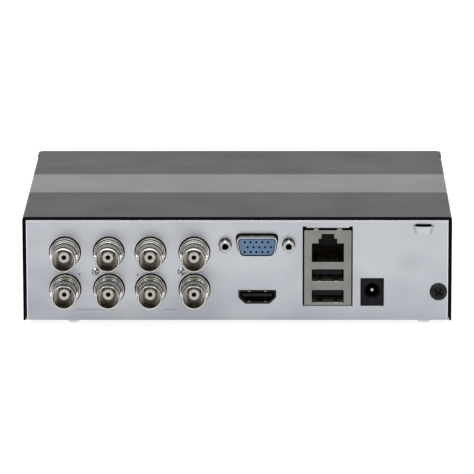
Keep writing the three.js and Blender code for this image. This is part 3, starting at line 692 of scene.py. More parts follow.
# ---------- base and rear panel
PANEL_TOP = span("base_chassis")[1].z
BASE_HALF = span("base_chassis")[1].x
FOLD = 1.0  # outside radius of the sheet's folds
LOW_FOLD = 0.45
SIDE_FOLD = 0.7
LIP = PANEL + 6.0  # where the panel's top flange and left return end
FLANGE_END = 70.0  # the cover's tab passes to the right of it
LIP_FRONT = span("base_chassis")[1].y
FRONT_LIP = 10.0
SIDE_LIP = 9.0
TIE = {"x": 73.2, "width": 8.4, "bottom": 35.2, "top": 38.4, "reach": 2.8, "taper": 0.2, "slot_half": 3.2}
HOOKS = (-60, 0, 60)  # middles of the slots that the bezel's hooks enter
POSTS = ((-76, -21), (0, -21), (76, -44), (76, 50), (37, 50))  # x and y of what carries the main board
POST_HEIGHT = 4.4
DRIVE_SCREWS = [f"drive_screw_{number}" for number in range(1, 5)]
BOSS_HEIGHT = 2.3
VENT_FIELDS = ((56, -24, 6, 9, 14), (-30, 4, 7, 6, 22))  # middle x, first y, pitch, count, length


def folded_sheet():
    """The floor, rear panel, top flange, left return and the lips, before anything is cut out."""
    sheet, top, low, half, front = PANEL_SHEET, PANEL_TOP, BASE_Z, BASE_HALF, LIP_FRONT
    section = soft(
        [(LIP, top), (PANEL, top), (PANEL, low), (front, low), (front, low + FRONT_LIP),
         (front - sheet, low + FRONT_LIP), (front - sheet, low + sheet), (PANEL_IN, low + sheet),
         (PANEL_IN, top - sheet), (LIP, top - sheet)],
        [0, FOLD, LOW_FOLD, FOLD, 0, 0, 0.15, 0.1, 0.15, 0], 7)
    whole = plate([section], -half, half, axis="X")
    left_return = [(-half, LIP), (-half, PANEL - 1), (-half + sheet, PANEL - 1), (-half + sheet, LIP)]
    boolean(whole, plate([left_return], low, top, axis="Z"), "UNION")
    for side in (-1, 1):
        edges = sorted((side * half, side * (half - sheet)))
        boolean(whole, block(*edges, LIP + 1, front - 0.01, low + 0.01, low + SIDE_LIP), "UNION")
    plan = soft([(-half, front + 1), (-half, PANEL), (half, PANEL), (half, front + 1)],
                [0, SIDE_FOLD, SIDE_FOLD, 0], 7)
    boolean(whole, plate([plan], low - 1, top + 1, axis="Z"), "INTERSECT")
    side_view = soft([(front, low - 1), (front, top + 1), (PANEL, top), (PANEL, low)],
                     [0, 0, FOLD, LOW_FOLD], 7)
    side_view[0], side_view[1] = (front + 1, low), (front + 1, top)
    boolean(whole, plate([side_view], -half - 1, half + 1, axis="X"), "INTERSECT")
    return whole


def standoff(x, y, low_radius, high_radius, height):
    """A drawn boss that stands on the floor with a soft shoulder."""
    foot, top = BASE_Z + PANEL_SHEET, BASE_Z + height
    profile = [(0, foot - 0.4), (low_radius + 0.5, foot - 0.4), (low_radius + 0.5, foot)]
    profile += [(low_radius, foot + 0.25), (high_radius + 0.1, top - 0.2), (high_radius - 0.15, top)]
    profile += [(0, top)]
    return lathe(profile, (x, y, 0), "Z", 32)


def stack_opening():
    """The network and USB stack's hole, which is higher at its two ends."""
    left, right, low = STACK_X - 9.95, STACK_X + 9.8, STACK_LOW.z - 0.3
    inner, top, ends = 8.4, STACK_HIGH.z + 1.0, STACK_HIGH.z + 1.5
    return [(left, low), (right, low), (right, ends), (STACK_X + inner, ends), (STACK_X + inner, top),
            (STACK_X - inner, top), (STACK_X - inner, ends), (left, ends)]


def panel_tools():
    """Everything that is cut through the rear panel."""
    y0, y1 = PANEL - 1, PANEL_IN + 0.5
    holes = [(f"bnc_shell_{i}", 6.35, 64) for i in range(1, 9)]  # node, radius, sides
    for side in ("left", "right"):
        holes += [(f"bnc_block_screw_{side}", 1.2, 24), (f"vga_jackscrew_{side}", 2.6, 32)]
    holes.append(("cover_screw", 1.7, 32))
    outlines = [circle(*across(node), radius, sides) for node, radius, sides in holes]
    outlines += [d_outline(*VGA_HOLE), hdmi_outline(0.25), stack_opening()]
    outlines.append(outline_of("dc_jack_body", 0.15))
    half, bottom, top = TIE["slot_half"], BASE_Z + TIE["bottom"], BASE_Z + TIE["top"] + 0.6
    outlines.append(rectangle(TIE["x"] - half, TIE["x"] + half, bottom, top, 0.3))
    tools = [plate([outline], y0, y1) for outline in outlines]
    for side in (-1, 1):
        x = side * (BASE_HALF - 0.9)
        tools.append(block(x - 0.35, x + 0.35, y0, y1, BASE_Z - 1, BASE_Z + 0.8))
    return tools


def floor_tools():
    """Drive screw holes, bezel hook slots and two fields of vent slots."""
    tools = []
    hole = [(0, 0.5), (1.7, 0.5), (1.7, BASE_Z + 3.3), (0, BASE_Z + 3.3)]
    for node in DRIVE_SCREWS:
        tools.append(lathe(hole, (middle(node).x, middle(node).y, 0), "Z", 32))
    for x in HOOKS:
        tools.append(block(x - 4.5, x + 4.5, LIP_FRONT - 2, LIP_FRONT + 1, BASE_Z + 3.9, BASE_Z + 7))
    for centre, first, pitch, count, length in VENT_FIELDS:
        for i in range(count):
            y = first + i * pitch
            slot = rectangle(centre - length / 2, centre + length / 2, y - 1, y + 1, 0.95, 5)
            tools.append(plate([slot], BASE_Z - 1, BASE_Z + 2, axis="Z"))
    return tools


def tie_bridge():
    """A strap pressed outwards into a half ellipse, narrower and shallower towards its lower edge."""
    half, reach, sheet = TIE["width"] / 2, TIE["reach"], PANEL_SHEET
    angles = [math.pi * i / 24 for i in range(25)]
    outer = [(half * math.cos(a), -reach * math.sin(a)) for a in angles]
    inner = [((half - sheet) * math.cos(a), -(reach - sheet) * math.sin(a)) for a in reversed(angles)]
    strip = outer + [(-half, sheet / 2), (sheet - half, sheet / 2)] + inner
    strip += [(half - sheet, sheet / 2), (half, sheet / 2)]
    places = [(TIE["x"] + u, PANEL + v) for u, v in strip]
    strap = plate([places], BASE_Z + TIE["bottom"], BASE_Z + TIE["top"], 0.1, "Z")
    for vertex in strap.data.vertices:
        share = 1 - TIE["taper"] * (BASE_Z + TIE["top"] - vertex.co.z) / (TIE["top"] - TIE["bottom"])
        vertex.co.x = TIE["x"] + (vertex.co.x - TIE["x"]) * share
        if vertex.co.y < PANEL:
            vertex.co.y = PANEL + (vertex.co.y - PANEL) * share
    return strap


def base_chassis():
    sheet = folded_sheet()
    under = PANEL_TOP - PANEL_SHEET - 0.3
    shoulder = block(FLANGE_END, BASE_HALF + 1, PANEL_IN, LIP + 1, under, PANEL_TOP + 1)
    bumps = [standoff(x, y, 3.0, 2.4, POST_HEIGHT) for x, y in POSTS]
    for node in DRIVE_SCREWS:
        bumps.append(standoff(middle(node).x, middle(node).y, 4.4, 3.4, BOSS_HEIGHT))
    boolean(sheet, joined(*bumps), "UNION")
    boolean(sheet, joined(shoulder, *panel_tools(), *floor_tools()))
    boolean(sheet, tie_bridge(), "UNION")

    # Painted highlight: the faces of the panel's top and side folds and the tie strap's curved ends get the
    # brighter zinc.
    def on_fold_highlight(place, normal):
        side = abs(abs(place.x) - BASE_HALF) < SIDE_FOLD and abs(normal.x) > 0.03
        above = PANEL_TOP - place.z < FOLD and normal.z > 0.03
        strap_end = PANEL - 1.3 < place.y < PANEL - 0.1 and abs(place.x - TIE["x"]) > 3.0
        return strap_end or (place.y < PANEL + FOLD and normal.y < -0.08 and (side or above))

    looks = ("zinc", ("fold", on_fold_highlight))
    piece("chassis_sheet", sheet, looks, "chassis", ["base_chassis"], 28)


PRINT_LINES = ((-64.1, -49.0), (-29.3, -23.3))  # from x to x
PRINT_Z = 4.4
PRINT_HALF = 0.14
PEGS = ((-62.1, 18.65), (-39.3, 18.5))  # x and height
PEG_RADIUS = 0.42


def panel_prints():
    """Fine printed lines that group the jacks, with no lettering."""
    low, high = PRINT_Z + BASE_Z - PRINT_HALF, PRINT_Z + BASE_Z + PRINT_HALF
    lines = [block(x0, x1, PANEL - 0.02, PANEL + 0.02, low, high, 0.01, 1) for x0, x1 in PRINT_LINES]
    piece("panel_print_lines", joined(*lines), "ink")


def panel_pegs():
    """The ends of the jack blocks' moulded pegs, which show in the panel."""
    r = PEG_RADIUS
    dome = [(0, -0.30), (0.45 * r, -0.27), (0.85 * r, -0.14), (r, 0.0), (r, 1.2), (0, 1.2)]
    pegs = [lathe(dome, (x, PANEL, z + BASE_Z), sides=20) for x, z in PEGS]
    piece("block_pegs", joined(*pegs), "ink")


# ---------- screws
SEAT = PANEL - 0.05  # where the panel's screws sit


def cross_recess(reach, depth, width, axis):
    """The cutter for a cross recess whose floor tapers in. It sinks along the axis from the origin."""
    arms = []
    for long, wide in ((reach, width / 2), (width / 2, reach)):
        bm = bmesh.new()
        for w, scale in ((-0.6, 1.08), (depth, 0.55)):
            for u, v in ((-1, -1), (1, -1), (1, 1), (-1, 1)):
                bm.verts.new(Vector(TURN[axis](u * long * scale, v * wide * scale, w)))
        bm.verts.ensure_lookup_table()
        v = bm.verts
        for quad in ((0, 1, 2, 3), (4, 5, 6, 7), (0, 1, 5, 4), (1, 2, 6, 5), (2, 3, 7, 6), (3, 0, 4, 7)):
            bm.faces.new([v[i] for i in quad])
        arms.append(from_bmesh(bm))
    return boolean(arms[0], arms[1], "UNION")


def pan_screw(radius, height, shank, length, centre, recess, axis="Y", spin=0.0):
    """A pan-head screw that sinks along +axis, with a threaded shank."""
    profile = soft([(0, -height), (radius * 0.62, -height), (radius, -height * 0.35), (radius, 0)],
                   height * 0.6, 6, closed=False)
    profile += [(shank, 0.0)]
    turns = int(length / 0.8)
    for i in range(turns):
        at = 0.3 + i * (length - 0.6) / turns
        profile += [(shank * 0.82, at), (shank, at + 0.3)]
    profile += [(shank * 0.8, length), (0, length)]
    screw = lathe(profile, (0, 0, 0), axis, 48)
    cutter = cross_recess(radius * recess, height * 0.8, radius * 0.3, axis)
    cutter.data.transform(Matrix.Translation(TURN[axis](0, 0, -height)))
    boolean(screw, cutter)
    screw.data.transform(Matrix.Translation(centre) @ Matrix.Rotation(spin, 4, axis))
    return screw


def panel_screw(node, shank, recess, degrees):
    """A screw on the rear panel whose head is as wide and as high as its CAD node."""
    low, high = span(node)
    x, z = across(node)
    return pan_screw((high.x - low.x) / 2, SEAT - low.y, shank, 6.0, (x, SEAT, z), recess,
                     spin=math.radians(degrees))


def flat_screws(places, top, spin, *shape):
    """Head up on a face at the height top, each turned by one more spin than the last."""
    screws = []
    for number, (x, y) in enumerate(places):
        radius, height, shank, length, recess = shape
        screw = pan_screw(radius, height, shank, length, (0, 0, 0), recess, "Z", spin * number)
        screw.data.transform(Matrix.Translation((x, y, top)) @ Matrix.Rotation(math.pi, 4, "X"))
        screws.append(screw)
    return joined(*screws)


def cover_screw():
    detailed("cover_screw", panel_screw("cover_screw", 1.45, 0.55, 32), "screw")


def block_screws():
    for side, degrees in (("left", 20), ("right", 52)):
        node = f"bnc_block_screw_{side}"
        low, high = span(node)
        x, z = across(node)
        reach = (high.x - low.x) / 2 * 0.7

        def in_recess(place, normal):
            inside = math.hypot(place.x - x, place.z - z) < reach and place.y < SEAT
            return inside and (place.y > low.y + 0.25 or normal.y > -0.5)

        screw = panel_screw(node, 0.9, 0.68, degrees)
        looks = ("steel", ("bore", in_recess))
        piece(f"block_screw_{side}_detailed", screw, looks, "chassis", [node])


# ---------- coaxial jacks
TIP = span("bnc_shell_1")[0].y - PANEL  # the jacks' tips; distances along a jack are from the panel
BARREL = 4.8
BORE = 4.22
LUG_Y = -9.4
LUG_REACH = 5.55
BARREL_RINGS = [  # radius and distance, tip first: barrel, groove, barrel, groove and the neck's rings
    (BORE, TIP + 0.3), (4.32, TIP + 0.06), (4.42, TIP), (4.6, TIP + 0.08), (BARREL, TIP + 0.45),
    (BARREL, -13.3), (4.5, -13.15), (4.5, -12.0), (BARREL, -11.85),
    (BARREL, -6.9), (4.5, -6.7), (4.5, -5.5), (4.98, -5.4), (5.1, -5.3),
    (5.1, -4.5), (4.75, -4.35), (4.75, -3.85), (5.22, -3.8), (5.35, -3.7), (5.4, -2.8),
    (4.7, -2.6), (4.7, -2.0), (5.6, -1.92), (5.85, -1.8), (5.85, -1.1),
    (5.35, -0.95), (5.35, -0.5), (5.75, -0.35), (5.8, 0.2), (5.98, 0.5),
    (5.98, 1.0), (4.6, 1.0), (4.6, 7.0)]
BARREL_INSIDE = [(2.65, 7.0), (2.65, -2.5), (BORE, -2.5)]
LUG = [(0, LUG_REACH), (0.72, LUG_REACH), (0.92, LUG_REACH - 0.14), (1.0, LUG_REACH - 0.4), (1.08, 4.75),
       (1.3, 4.5), (0, 4.5)]
INSULATOR = [(0.92, -9.35), (1.05, -9.5), (1.95, -9.5), (2.2, -9.3), (2.32, -8.9), (2.32, -4.0), (2.35, -3.6),
             (2.35, 6.5), (0, 6.5), (0, -4.4), (0.9, -4.4)]
CONTACT = [(0.62, -4.9), (0.72, -5.0), (0.84, -4.9), (0.84, -4.5), (0.62, -4.5)]


def bnc_shell(node, x, z):
    shell = lathe(BARREL_RINGS + BARREL_INSIDE, (x, PANEL, z), sides=64)
    for side in (-1, 1):
        lug = lathe([(r, side * d) for r, d in LUG], (x, PANEL + LUG_Y, z), "X", 24)
        shell = joined(shell, lug)

    def in_groove(place, normal):
        reach, back = math.hypot(place.x - x, place.z - z), place.y - PANEL
        if -13.2 < back < -11.9:
            return 4.3 < reach < 4.75
        return -6.8 < back < -1.85 and 4.3 < reach < (5.2 if back > -2.1 else 5.02)

    # painted shade: the faces inside the barrel get the darker nickel
    in_barrel = inside_bore(x, z, BORE + 0.25, PANEL + TIP - 1, PANEL - 2.4)
    detailed(node, shell, ("nickel", ("bore", in_groove), ("barrel", in_barrel)))


def bnc_insulator(node, x, z):
    in_hole = inside_bore(x, z, 0.95, PANEL - 9.3, PANEL + 7)
    detailed(node, lathe(INSULATOR, (x, PANEL, z), sides=40), ("ivory", ("bore", in_hole)))


def coaxial_jacks():
    for number in range(1, 9):
        x, z = across(f"bnc_shell_{number}")
        bnc_shell(f"bnc_shell_{number}", x, z)
        bnc_insulator(f"bnc_insulator_{number}", x, z)
        piece(f"bnc_contact_{number}", lathe(CONTACT, (x, PANEL, z), sides=24), "bore")


# ---------- video socket
VGA = middle("vga_insulator")
VGA_FRONT = span("vga_shell")[0].y
VGA_FLANGE = span("vga_shell")[1].y - 0.8
SCREW_OFFSET = 12.495  # from the socket's middle to a jackscrew
VGA_HOLE = (17.6, 9.1, 2.7)  # width, height and corner radius, from the hole in the panel inwards
VGA_HOOD = (16.3, 7.9, 2.3)
VGA_MOUTH = (15.35, 6.95, 1.9)
VGA_FACE = (14.7, 6.3, 1.7)
VGA_CORE = (14.6, 6.2, 1.7)
FLANGE_HALF = (15.4, 6.2)
PIN_PITCH = 2.29
PIN_ROW = 1.98
PIN_RADIUS = 0.46


def d_outline(width, height, radius):
    """A D with its wide side up and ten-degree flanks, centred on the video socket."""
    top = width / 2
    low = top - height * math.tan(math.radians(10))
    z0, z1 = VGA.z - height / 2, VGA.z + height / 2
    return soft([(VGA.x - low, z0), (VGA.x + low, z0), (VGA.x + top, z1), (VGA.x - top, z1)], radius, 6)


def vga_socket():
    mouth = d_outline(*VGA_MOUTH)
    hood = plate([d_outline(*VGA_HOOD), mouth], VGA_FRONT, VGA_FLANGE + 0.4, 0.2)
    holes = [circle(VGA.x + side * SCREW_OFFSET, VGA.z, 2.0) for side in (-1, 1)]
    half_x, half_z = FLANGE_HALF
    rim = rectangle(VGA.x - half_x, VGA.x + half_x, VGA.z - half_z, VGA.z + half_z, 1)
    flange = plate([rim, mouth, *holes], VGA_FLANGE, VGA_FLANGE + 0.8, 0.1)
    piece("vga_hood", hood, "steel", "chassis", ["vga_shell"])
    # painted shade: the steel flange, which lies in shadow behind the panel, takes the black moulding look
    piece("vga_flange", flange, "black")
    front = VGA_FRONT + 0.4
    rows = ((PIN_ROW, 0.0), (0.0, PIN_PITCH / 2), (-PIN_ROW, 0.0))
    places = [(VGA.x - 0.2 + shift + i * PIN_PITCH, VGA.z + dz) for dz, shift in rows for i in range(-2, 3)]
    pin_holes = [circle(x, z, PIN_RADIUS, 16) for x, z in places]
    face = plate([d_outline(*VGA_FACE), *pin_holes], front, front + 4.2, 0.12)
    core = plate([d_outline(*VGA_CORE)], front + 4.1, VGA_FLANGE + 1.1, 0.05)
    piece("vga_face", joined(face, core), "blue", "chassis", ["vga_insulator"])
    ring = [(0.26, front + 3.4), (0.40, front + 3.4), (0.40, front + 4.1), (0.26, front + 4.1)]
    contacts = [lathe(ring, (x, 0, z), sides=12) for x, z in places]
    piece("vga_contacts", joined(*contacts), "gold")


def jackscrews():
    """Hex posts with a dark thread inside."""
    for side in ("left", "right"):
        node = f"vga_jackscrew_{side}"
        low, high = span(node)
        x, z = across(node)
        tip, radius, back = low.y, (high.z - low.z) / 2, VGA_FLANGE - 0.05
        angles = [math.tau * i / 6 for i in range(6)]
        post = plate([[(x + radius * math.sin(a), z + radius * math.cos(a)) for a in angles]], tip, back)
        cone = [(0, tip - 0.1), (1.75, tip - 0.1), (1.85, tip), (2.3, tip + 0.3), (radius + 0.2, tip + 1.1),
                (radius + 0.2, back - 0.4), (radius - 0.15, back + 0.1), (0, back + 0.1)]
        boolean(post, lathe(cone, (x, 0, z), sides=48), "INTERSECT")
        shank = [(0, back - 0.5), (1.6, back - 0.5), (1.6, high.y - 0.4), (1.3, high.y), (0, high.y)]
        boolean(post, lathe(shank, (x, 0, z), sides=32), "UNION")
        thread = [(0, tip - 1), (1.5, tip - 1), (1.5, tip), (1.25, tip + 0.2)]
        for i in range(9):
            at = tip + 0.4 + i * 0.5
            thread += [(1.25, at), (1.06, at + 0.25)]
        thread += [(0.9, tip + 5.2), (0, tip + 5.6)]
        boolean(post, lathe(thread, (x, 0, z), sides=32))
        in_thread = inside_bore(x, z, 1.27, tip + 0.15, tip + 5.7)
        detailed(node, post, ("post", ("bore", in_thread)))


# ---------- HDMI socket
HDMI_LOW, HDMI_HIGH = span("hdmi_shell")
HDMI_X = (HDMI_LOW.x + HDMI_HIGH.x) / 2
HDMI_SETBACK = 0.35  # how far its walls start behind the CAD shell's front
HDMI_HALF = 7.25
HDMI_FLAT = 4.7  # half of the narrow lower edge
HDMI_SHOULDER = 2.35
HDMI_TALL = 5.15


def hdmi_outline(margin):
    """The socket's outline, larger by margin all round."""
    half, flat = HDMI_HALF + margin, HDMI_FLAT + margin * 0.6
    low = HDMI_LOW.z - margin
    shoulder, high = HDMI_LOW.z + HDMI_SHOULDER, HDMI_LOW.z + HDMI_TALL + margin
    right = [(HDMI_X + flat, low), (HDMI_X + half, shoulder), (HDMI_X + half, high)]
    left = [(HDMI_X - half, high), (HDMI_X - half, shoulder)]
    return soft([(HDMI_X - flat, low), *right, *left], 0.55, 4)


def hdmi_socket():
    walls = plate([hdmi_outline(0), hdmi_outline(-0.4)], HDMI_LOW.y + HDMI_SETBACK, HDMI_HIGH.y - 0.9, 0.1)
    back = plate([hdmi_outline(-0.05)], HDMI_HIGH.y - 1.0, HDMI_HIGH.y, 0.1)
    # painted shade: the HDMI shell is given the nearly black tin
    detailed("hdmi_shell", joined(walls, back), "tin_painted_shade")
    springs = []
    for dx in (-3.2, 3.2):
        for z, rise in ((HDMI_LOW.z + 0.42, 0.46), (HDMI_HIGH.z - 0.42, -0.46)):
            springs.append(leaf_spring(HDMI_X + dx, HDMI_LOW.y + 0.45, z, 2.4, rise, 5, 0.7, 0.18))
    piece("hdmi_springs", joined(*springs), "steel")
    low, high = span("hdmi_tongue")
    blade = block(low.x + 0.1, high.x - 0.1, low.y, high.y, low.z, low.z + 1.2, 0.12)
    root = block(low.x, high.x, high.y - 1.6, high.y, low.z, high.z, 0.12)
    detailed("hdmi_tongue", joined(blade, root), "screw")
    strips, y0, y1 = [], low.y + 0.5, high.y - 1.8
    for i in range(10):
        at = low.x + 1.5 + i * 1.0
        strips.append(block(at - 0.2, at + 0.2, y0, y1, low.z - 0.05, low.z + 0.05, 0.02, 1))
    piece("hdmi_contacts", joined(*strips), "gold")


# ---------- network and USB stack
STACK_LOW, STACK_HIGH = span("jack_stack_shield")
STACK_X = (STACK_LOW.x + STACK_HIGH.x) / 2
SHIELD = 0.4
USB_HALF = 6.3
SPRING_OFFSET = 4.6
NETWORK_PITCH = 1.02  # between the network socket's eight contacts
USB_MOUTHS = ((15.7, 20.7), (7.1, 12.3))  # low and high edges, from the base's underside
NETWORK_STEPS = ((6.3, 23.7), (6.3, 31.2), (3.65, 31.2), (3.65, 33.1), (2.5, 33.1), (2.5, 35.0))  # right half


def stack_shield():
    front = STACK_LOW.y
    rim, inner = outline_of("jack_stack_shield", 0, 0.5), outline_of("jack_stack_shield", -SHIELD, 0.25)
    network = [(STACK_X + u, v + BASE_Z) for u, v in NETWORK_STEPS]
    network += [(STACK_X - u, v + BASE_Z) for u, v in reversed(NETWORK_STEPS)]
    mouths = [rectangle(STACK_X - USB_HALF, STACK_X + USB_HALF, low + BASE_Z, high + BASE_Z, 0.35)
              for low, high in USB_MOUTHS]
    face = plate([rim, network, *mouths], front, front + SHIELD, 0.1)
    parts, bright = [face, plate([rim, inner], front + 0.2, STACK_HIGH.y, 0.1)], []
    for dx in (-SPRING_OFFSET, SPRING_OFFSET):
        path = [(STACK_X + dx, front + 0.1 + 0.2 * t, STACK_HIGH.z - 0.3 + 1.15 * math.sin(math.pi * t / 8))
                for t in range(9)]
        parts.append(tube(path, 1.0, 10, 0.2))
        for low, _ in USB_MOUTHS:
            z = BASE_Z + low + 0.12
            bright.append(leaf_spring(STACK_X + dx * 0.7, front + 0.25, z, 5.4, 0.55, 6, 0.9, 0.16))
    x0, x1, y0, y1 = STACK_X - USB_HALF + 0.3, STACK_X + USB_HALF - 0.3, front + 0.05, front + 1.6
    for low, _ in USB_MOUTHS:
        bright.append(block(x0, x1, y0, y1, BASE_Z + low - 0.12, BASE_Z + low + 0.12, 0.05))
    piece("stack_springs", joined(*bright), "steel")
    piece("stack_shield_detailed", joined(*parts), "tin", "chassis", ["jack_stack_shield"])


def stack_inserts():
    for node, depth, deep in (("rj45_insert", 9.0, "recess"), ("usb_insert", 1.2, "cavity")):
        front = span(node)[0].y

        def far_in(place, normal):
            return place.y > front + depth and abs(place.x - STACK_X) < USB_HALF + 0.2

        detailed(node, refined(node, 0.12), ("black", (deep, far_in)))
    wires = []
    for i in range(8):
        x = STACK_X + (i - 3.5) * NETWORK_PITCH
        path = [(x, STACK_LOW.y + 4.4 + t * 0.9, BASE_Z + 24.1 + 2.9 * (t / 9) ** 1.3) for t in range(10)]
        wires.append(tube(path, 0.22, 8))
    y0, y1 = STACK_LOW.y + 2.0, STACK_LOW.y + 9.5
    for _, high in USB_MOUTHS:
        z = BASE_Z + high - 2.3
        for x in (-3.5, -1.0, 1.0, 3.5):
            wires.append(block(STACK_X + x - 0.5, STACK_X + x + 0.5, y0, y1, z - 0.09, z + 0.05, 0.03, 1))
    piece("stack_contacts", joined(*wires), "gold")


# ---------- power inlet
POWER_BORE = 3.1
POWER_DEPTH = 8.9


def power_inlet():
    x, z = across("dc_jack_pin")
    front, rear = (corner.y for corner in span("dc_jack_body"))
    tip, root = (corner.y for corner in span("dc_jack_pin"))
    rim = outline_of("dc_jack_body", 0, 0.35)
    body = plate([rim, circle(x, z, POWER_BORE, 48)], front, front + POWER_DEPTH + 0.1, 0.18)
    sleeve = [(POWER_BORE, front + 0.9), (3.3, front + 0.9), (3.3, front + 1.6), (2.75, front + 1.6),
              (2.75, front + POWER_DEPTH), (POWER_BORE, front + POWER_DEPTH)]
    back = plate([rim], front + POWER_DEPTH, rear, 0.18)
    whole = joined(body, lathe(sleeve, (x, 0, z), sides=48), back)
    detailed("dc_jack_body", whole, "black")
    outline = [(0, tip), (0.45, tip + 0.06), (0.78, tip + 0.28), (0.96, tip + 0.62), (1.0, tip + 1.0)]
    outline += [(1.0, root - 3.0), (1.25, root - 2.8), (1.25, root), (0, root)]
    arch = [(front + 0.6 + t * 0.6, z - 2.85 + 0.6 * math.sin(math.pi * t / 8)) for t in range(9)]
    under = [(along, height - 0.2) for along, height in reversed(arch)]
    spring = plate([arch + under], x - 0.9, x + 0.9, 0.0, "X")

    def on_spring(place, normal):
        return place.z < z - 1.3

    contacts = joined(lathe(outline, (x, 0, z), sides=32), spring)
    detailed("dc_jack_pin", contacts, ("steel", ("tin_painted_shade", on_spring)))


# ---------- feet


def feet():
    for corner in ("rear_left", "rear_right", "front_left", "front_right"):
        node = f"foot_{corner}"
        low, high = span(node)
        centre, radius, top = middle(node), (high.x - low.x) / 2, high.z
        side = soft([(1.6, 0.0), (2.3, 0.0), (radius, top - 0.25), (radius, top)], 0.3, 4, closed=False)
        profile = [(0, 0.12), (1.2, 0.12), (1.45, 0.0), *side, (0, top)]
        detailed(node, lathe(profile, (centre.x, centre.y, 0), "Z", 40), "rubber")


# ---------- inside


def drive_screws():
    for number, node in enumerate(DRIVE_SCREWS, 1):
        low, high = span(node)
        centre = middle(node)
        seat = low.z + 1.1
        screw = pan_screw((high.x - low.x) / 2, 1.1, 1.4, high.z - seat, (centre.x, centre.y, seat), 0.6, "Z",
                          math.radians(25 * number))
        detailed(node, screw, "screw")


# ---------- small parts on the board and the drive
BOARD_TOP = span("soc_chip")[0].z
LID_LOW, LID_HIGH = span("hdd_lid")
LID_TOP = LID_HIGH.z
ARM_PIVOT = (4, 35.1)
CAPACITORS = ((66, -30), (75, -30), (70.5, -20.5))
CAN = [(0, 0), (3.7, 0), (4.0, 0.25), (4.0, 1.3), (3.75, 1.6), (3.75, 1.9), (4.0, 2.2), (4.0, 11.3),
       (3.85, 11.75), (3.4, 11.9), (3.3, 11.7), (0, 11.7)]
COILS = ((54, -30), (54, -20.5))
LEAD_PITCH = 0.8
CHIPS = (  # middle x and y, width, length, height; square ones have leads on all four sides
    (-55, -25, 12, 12, 1.3), (-25, -25, 12, 12, 1.3), (12, -29, 8, 8, 1.2), (41, -24, 11, 8, 1.1),
    (41, -5, 11, 8, 1.1), (57, 20, 5, 6, 1.5), (67, 20, 5, 6, 1.5))
PASSIVE_STEP = {"x": (2.4, 0.0), "y": (0.0, 2.3)}
PASSIVE_ROWS = (  # first x and y, the row's direction, count
    (-64.5, -17.6, "x", 9), (-34.5, -17.6, "x", 9), (-46.5, -31, "y", 6), (-16.5, -31, "y", 6),
    (5.5, -22.5, "x", 6), (34.5, -17.5, "x", 6), (48.2, -10, "y", 9), (78.5, -12, "y", 11),
    (60.5, -38, "x", 5), (60, 52.5, "x", 3), (34.2, 4, "x", 5), (47.5, 28, "y", 8))
LID_SCREWS = ((-77.4, -11.4), (17.4, -11.4), (-77.4, 53.4), (17.4, 53.4), (-77.4, 21), (17.4, 3))


def capacitors():
    """Upright cans in black sleeves, with a crimp near the foot and a scored bare top."""
    top = BOARD_TOP + CAN[-1][1]
    for number, (x, y) in enumerate(CAPACITORS, 1):
        can = lathe(CAN, (x, y, BOARD_TOP), "Z", 40)
        boolean(can, block_at(x, y, 2.6, 0.12, top - 0.12, top + 1))

        def on_top(place, normal):
            return place.z > top - 0.2 and math.hypot(place.x - x, place.y - y) < 3.45

        piece(f"board_capacitor_{number}", can, ("chip", ("lid", on_top)))


def coils():
    cores = [block_at(x, y, 3.5, 3.5, BOARD_TOP, BOARD_TOP + 4.2, 0.5, 3) for x, y in COILS]
    piece("board_coils", joined(*cores), "chip")


def gull_leads(x, y, width, length, turned):
    """Bent leads from the middle of two sides of a chip's body down to the board."""
    leads = []
    row = length - 1.2
    for side in (-1, 1):
        for i in range(int(row / LEAD_PITCH) + 1):
            start, at = side * width / 2, i * LEAD_PITCH - row / 2
            bends = ((-0.2, 0.55), (0.35, 0.5), (0.5, 0.12), (1.1, 0.08))
            path = [(start + side * out, at, up) for out, up in bends]
            if turned:
                path = [(-v, u, w) for u, v, w in path]
            leads.append(tube([(x + u, y + v, BOARD_TOP + w) for u, v, w in path], 0.16, 6, 0.5))
    return leads


def chips():
    bodies, leads = [], []
    for x, y, width, length, height in CHIPS:
        bodies.append(block_at(x, y, width / 2, length / 2, BOARD_TOP + 0.1, BOARD_TOP + height, 0.16))
        for turned in (False, True) if width == length else (False,):
            leads += gull_leads(x, y, width, length, turned)
    piece("board_chips", joined(*bodies), "chip")
    piece("board_chip_leads", joined(*leads), "steel")


def passives():
    """Rows of small resistors and capacitors with tinned ends, each set across its row."""
    bodies, ends = [], []
    for x0, y0, direction, count in PASSIVE_ROWS:
        step_x, step_y = PASSIVE_STEP[direction]
        long_x, long_y = int(direction == "y"), int(direction == "x")
        body = (0.24 + 0.24 * long_x, 0.24 + 0.24 * long_y)
        end = (0.22 + 0.22 * long_y, 0.22 + 0.22 * long_x)
        for i in range(count):
            x, y = x0 + i * step_x, y0 + i * step_y
            bodies.append(block_at(x, y, *body, BOARD_TOP, BOARD_TOP + 0.55, 0.05, 1))
            for off in (-0.62, 0.62):
                place = (x + off * long_x, y + off * long_y)
                ends.append(block_at(*place, *end, BOARD_TOP, BOARD_TOP + 0.6, 0.05, 1))
    piece("board_passives", joined(*bodies), "ivory")
    piece("board_passive_ends", joined(*ends), "steel")


def crystal():
    can = plate([rectangle(16, 22.6, -27.2, -22.5, 2.2, 6)], BOARD_TOP + 0.2, BOARD_TOP + 3.5, 0.3, "Z")
    base = plate([rectangle(15.6, 23.0, -27.6, -22.1, 2.4, 6)], BOARD_TOP, BOARD_TOP + 0.4, 0.05, "Z")
    piece("board_crystal", joined(can, base), "lid")


def board_screws():
    screws = flat_screws(POSTS, BOARD_TOP, 0.4, 2.7, 1.5, 1.3, 0.3, 0.6)
    piece("board_screws", screws, "steel")


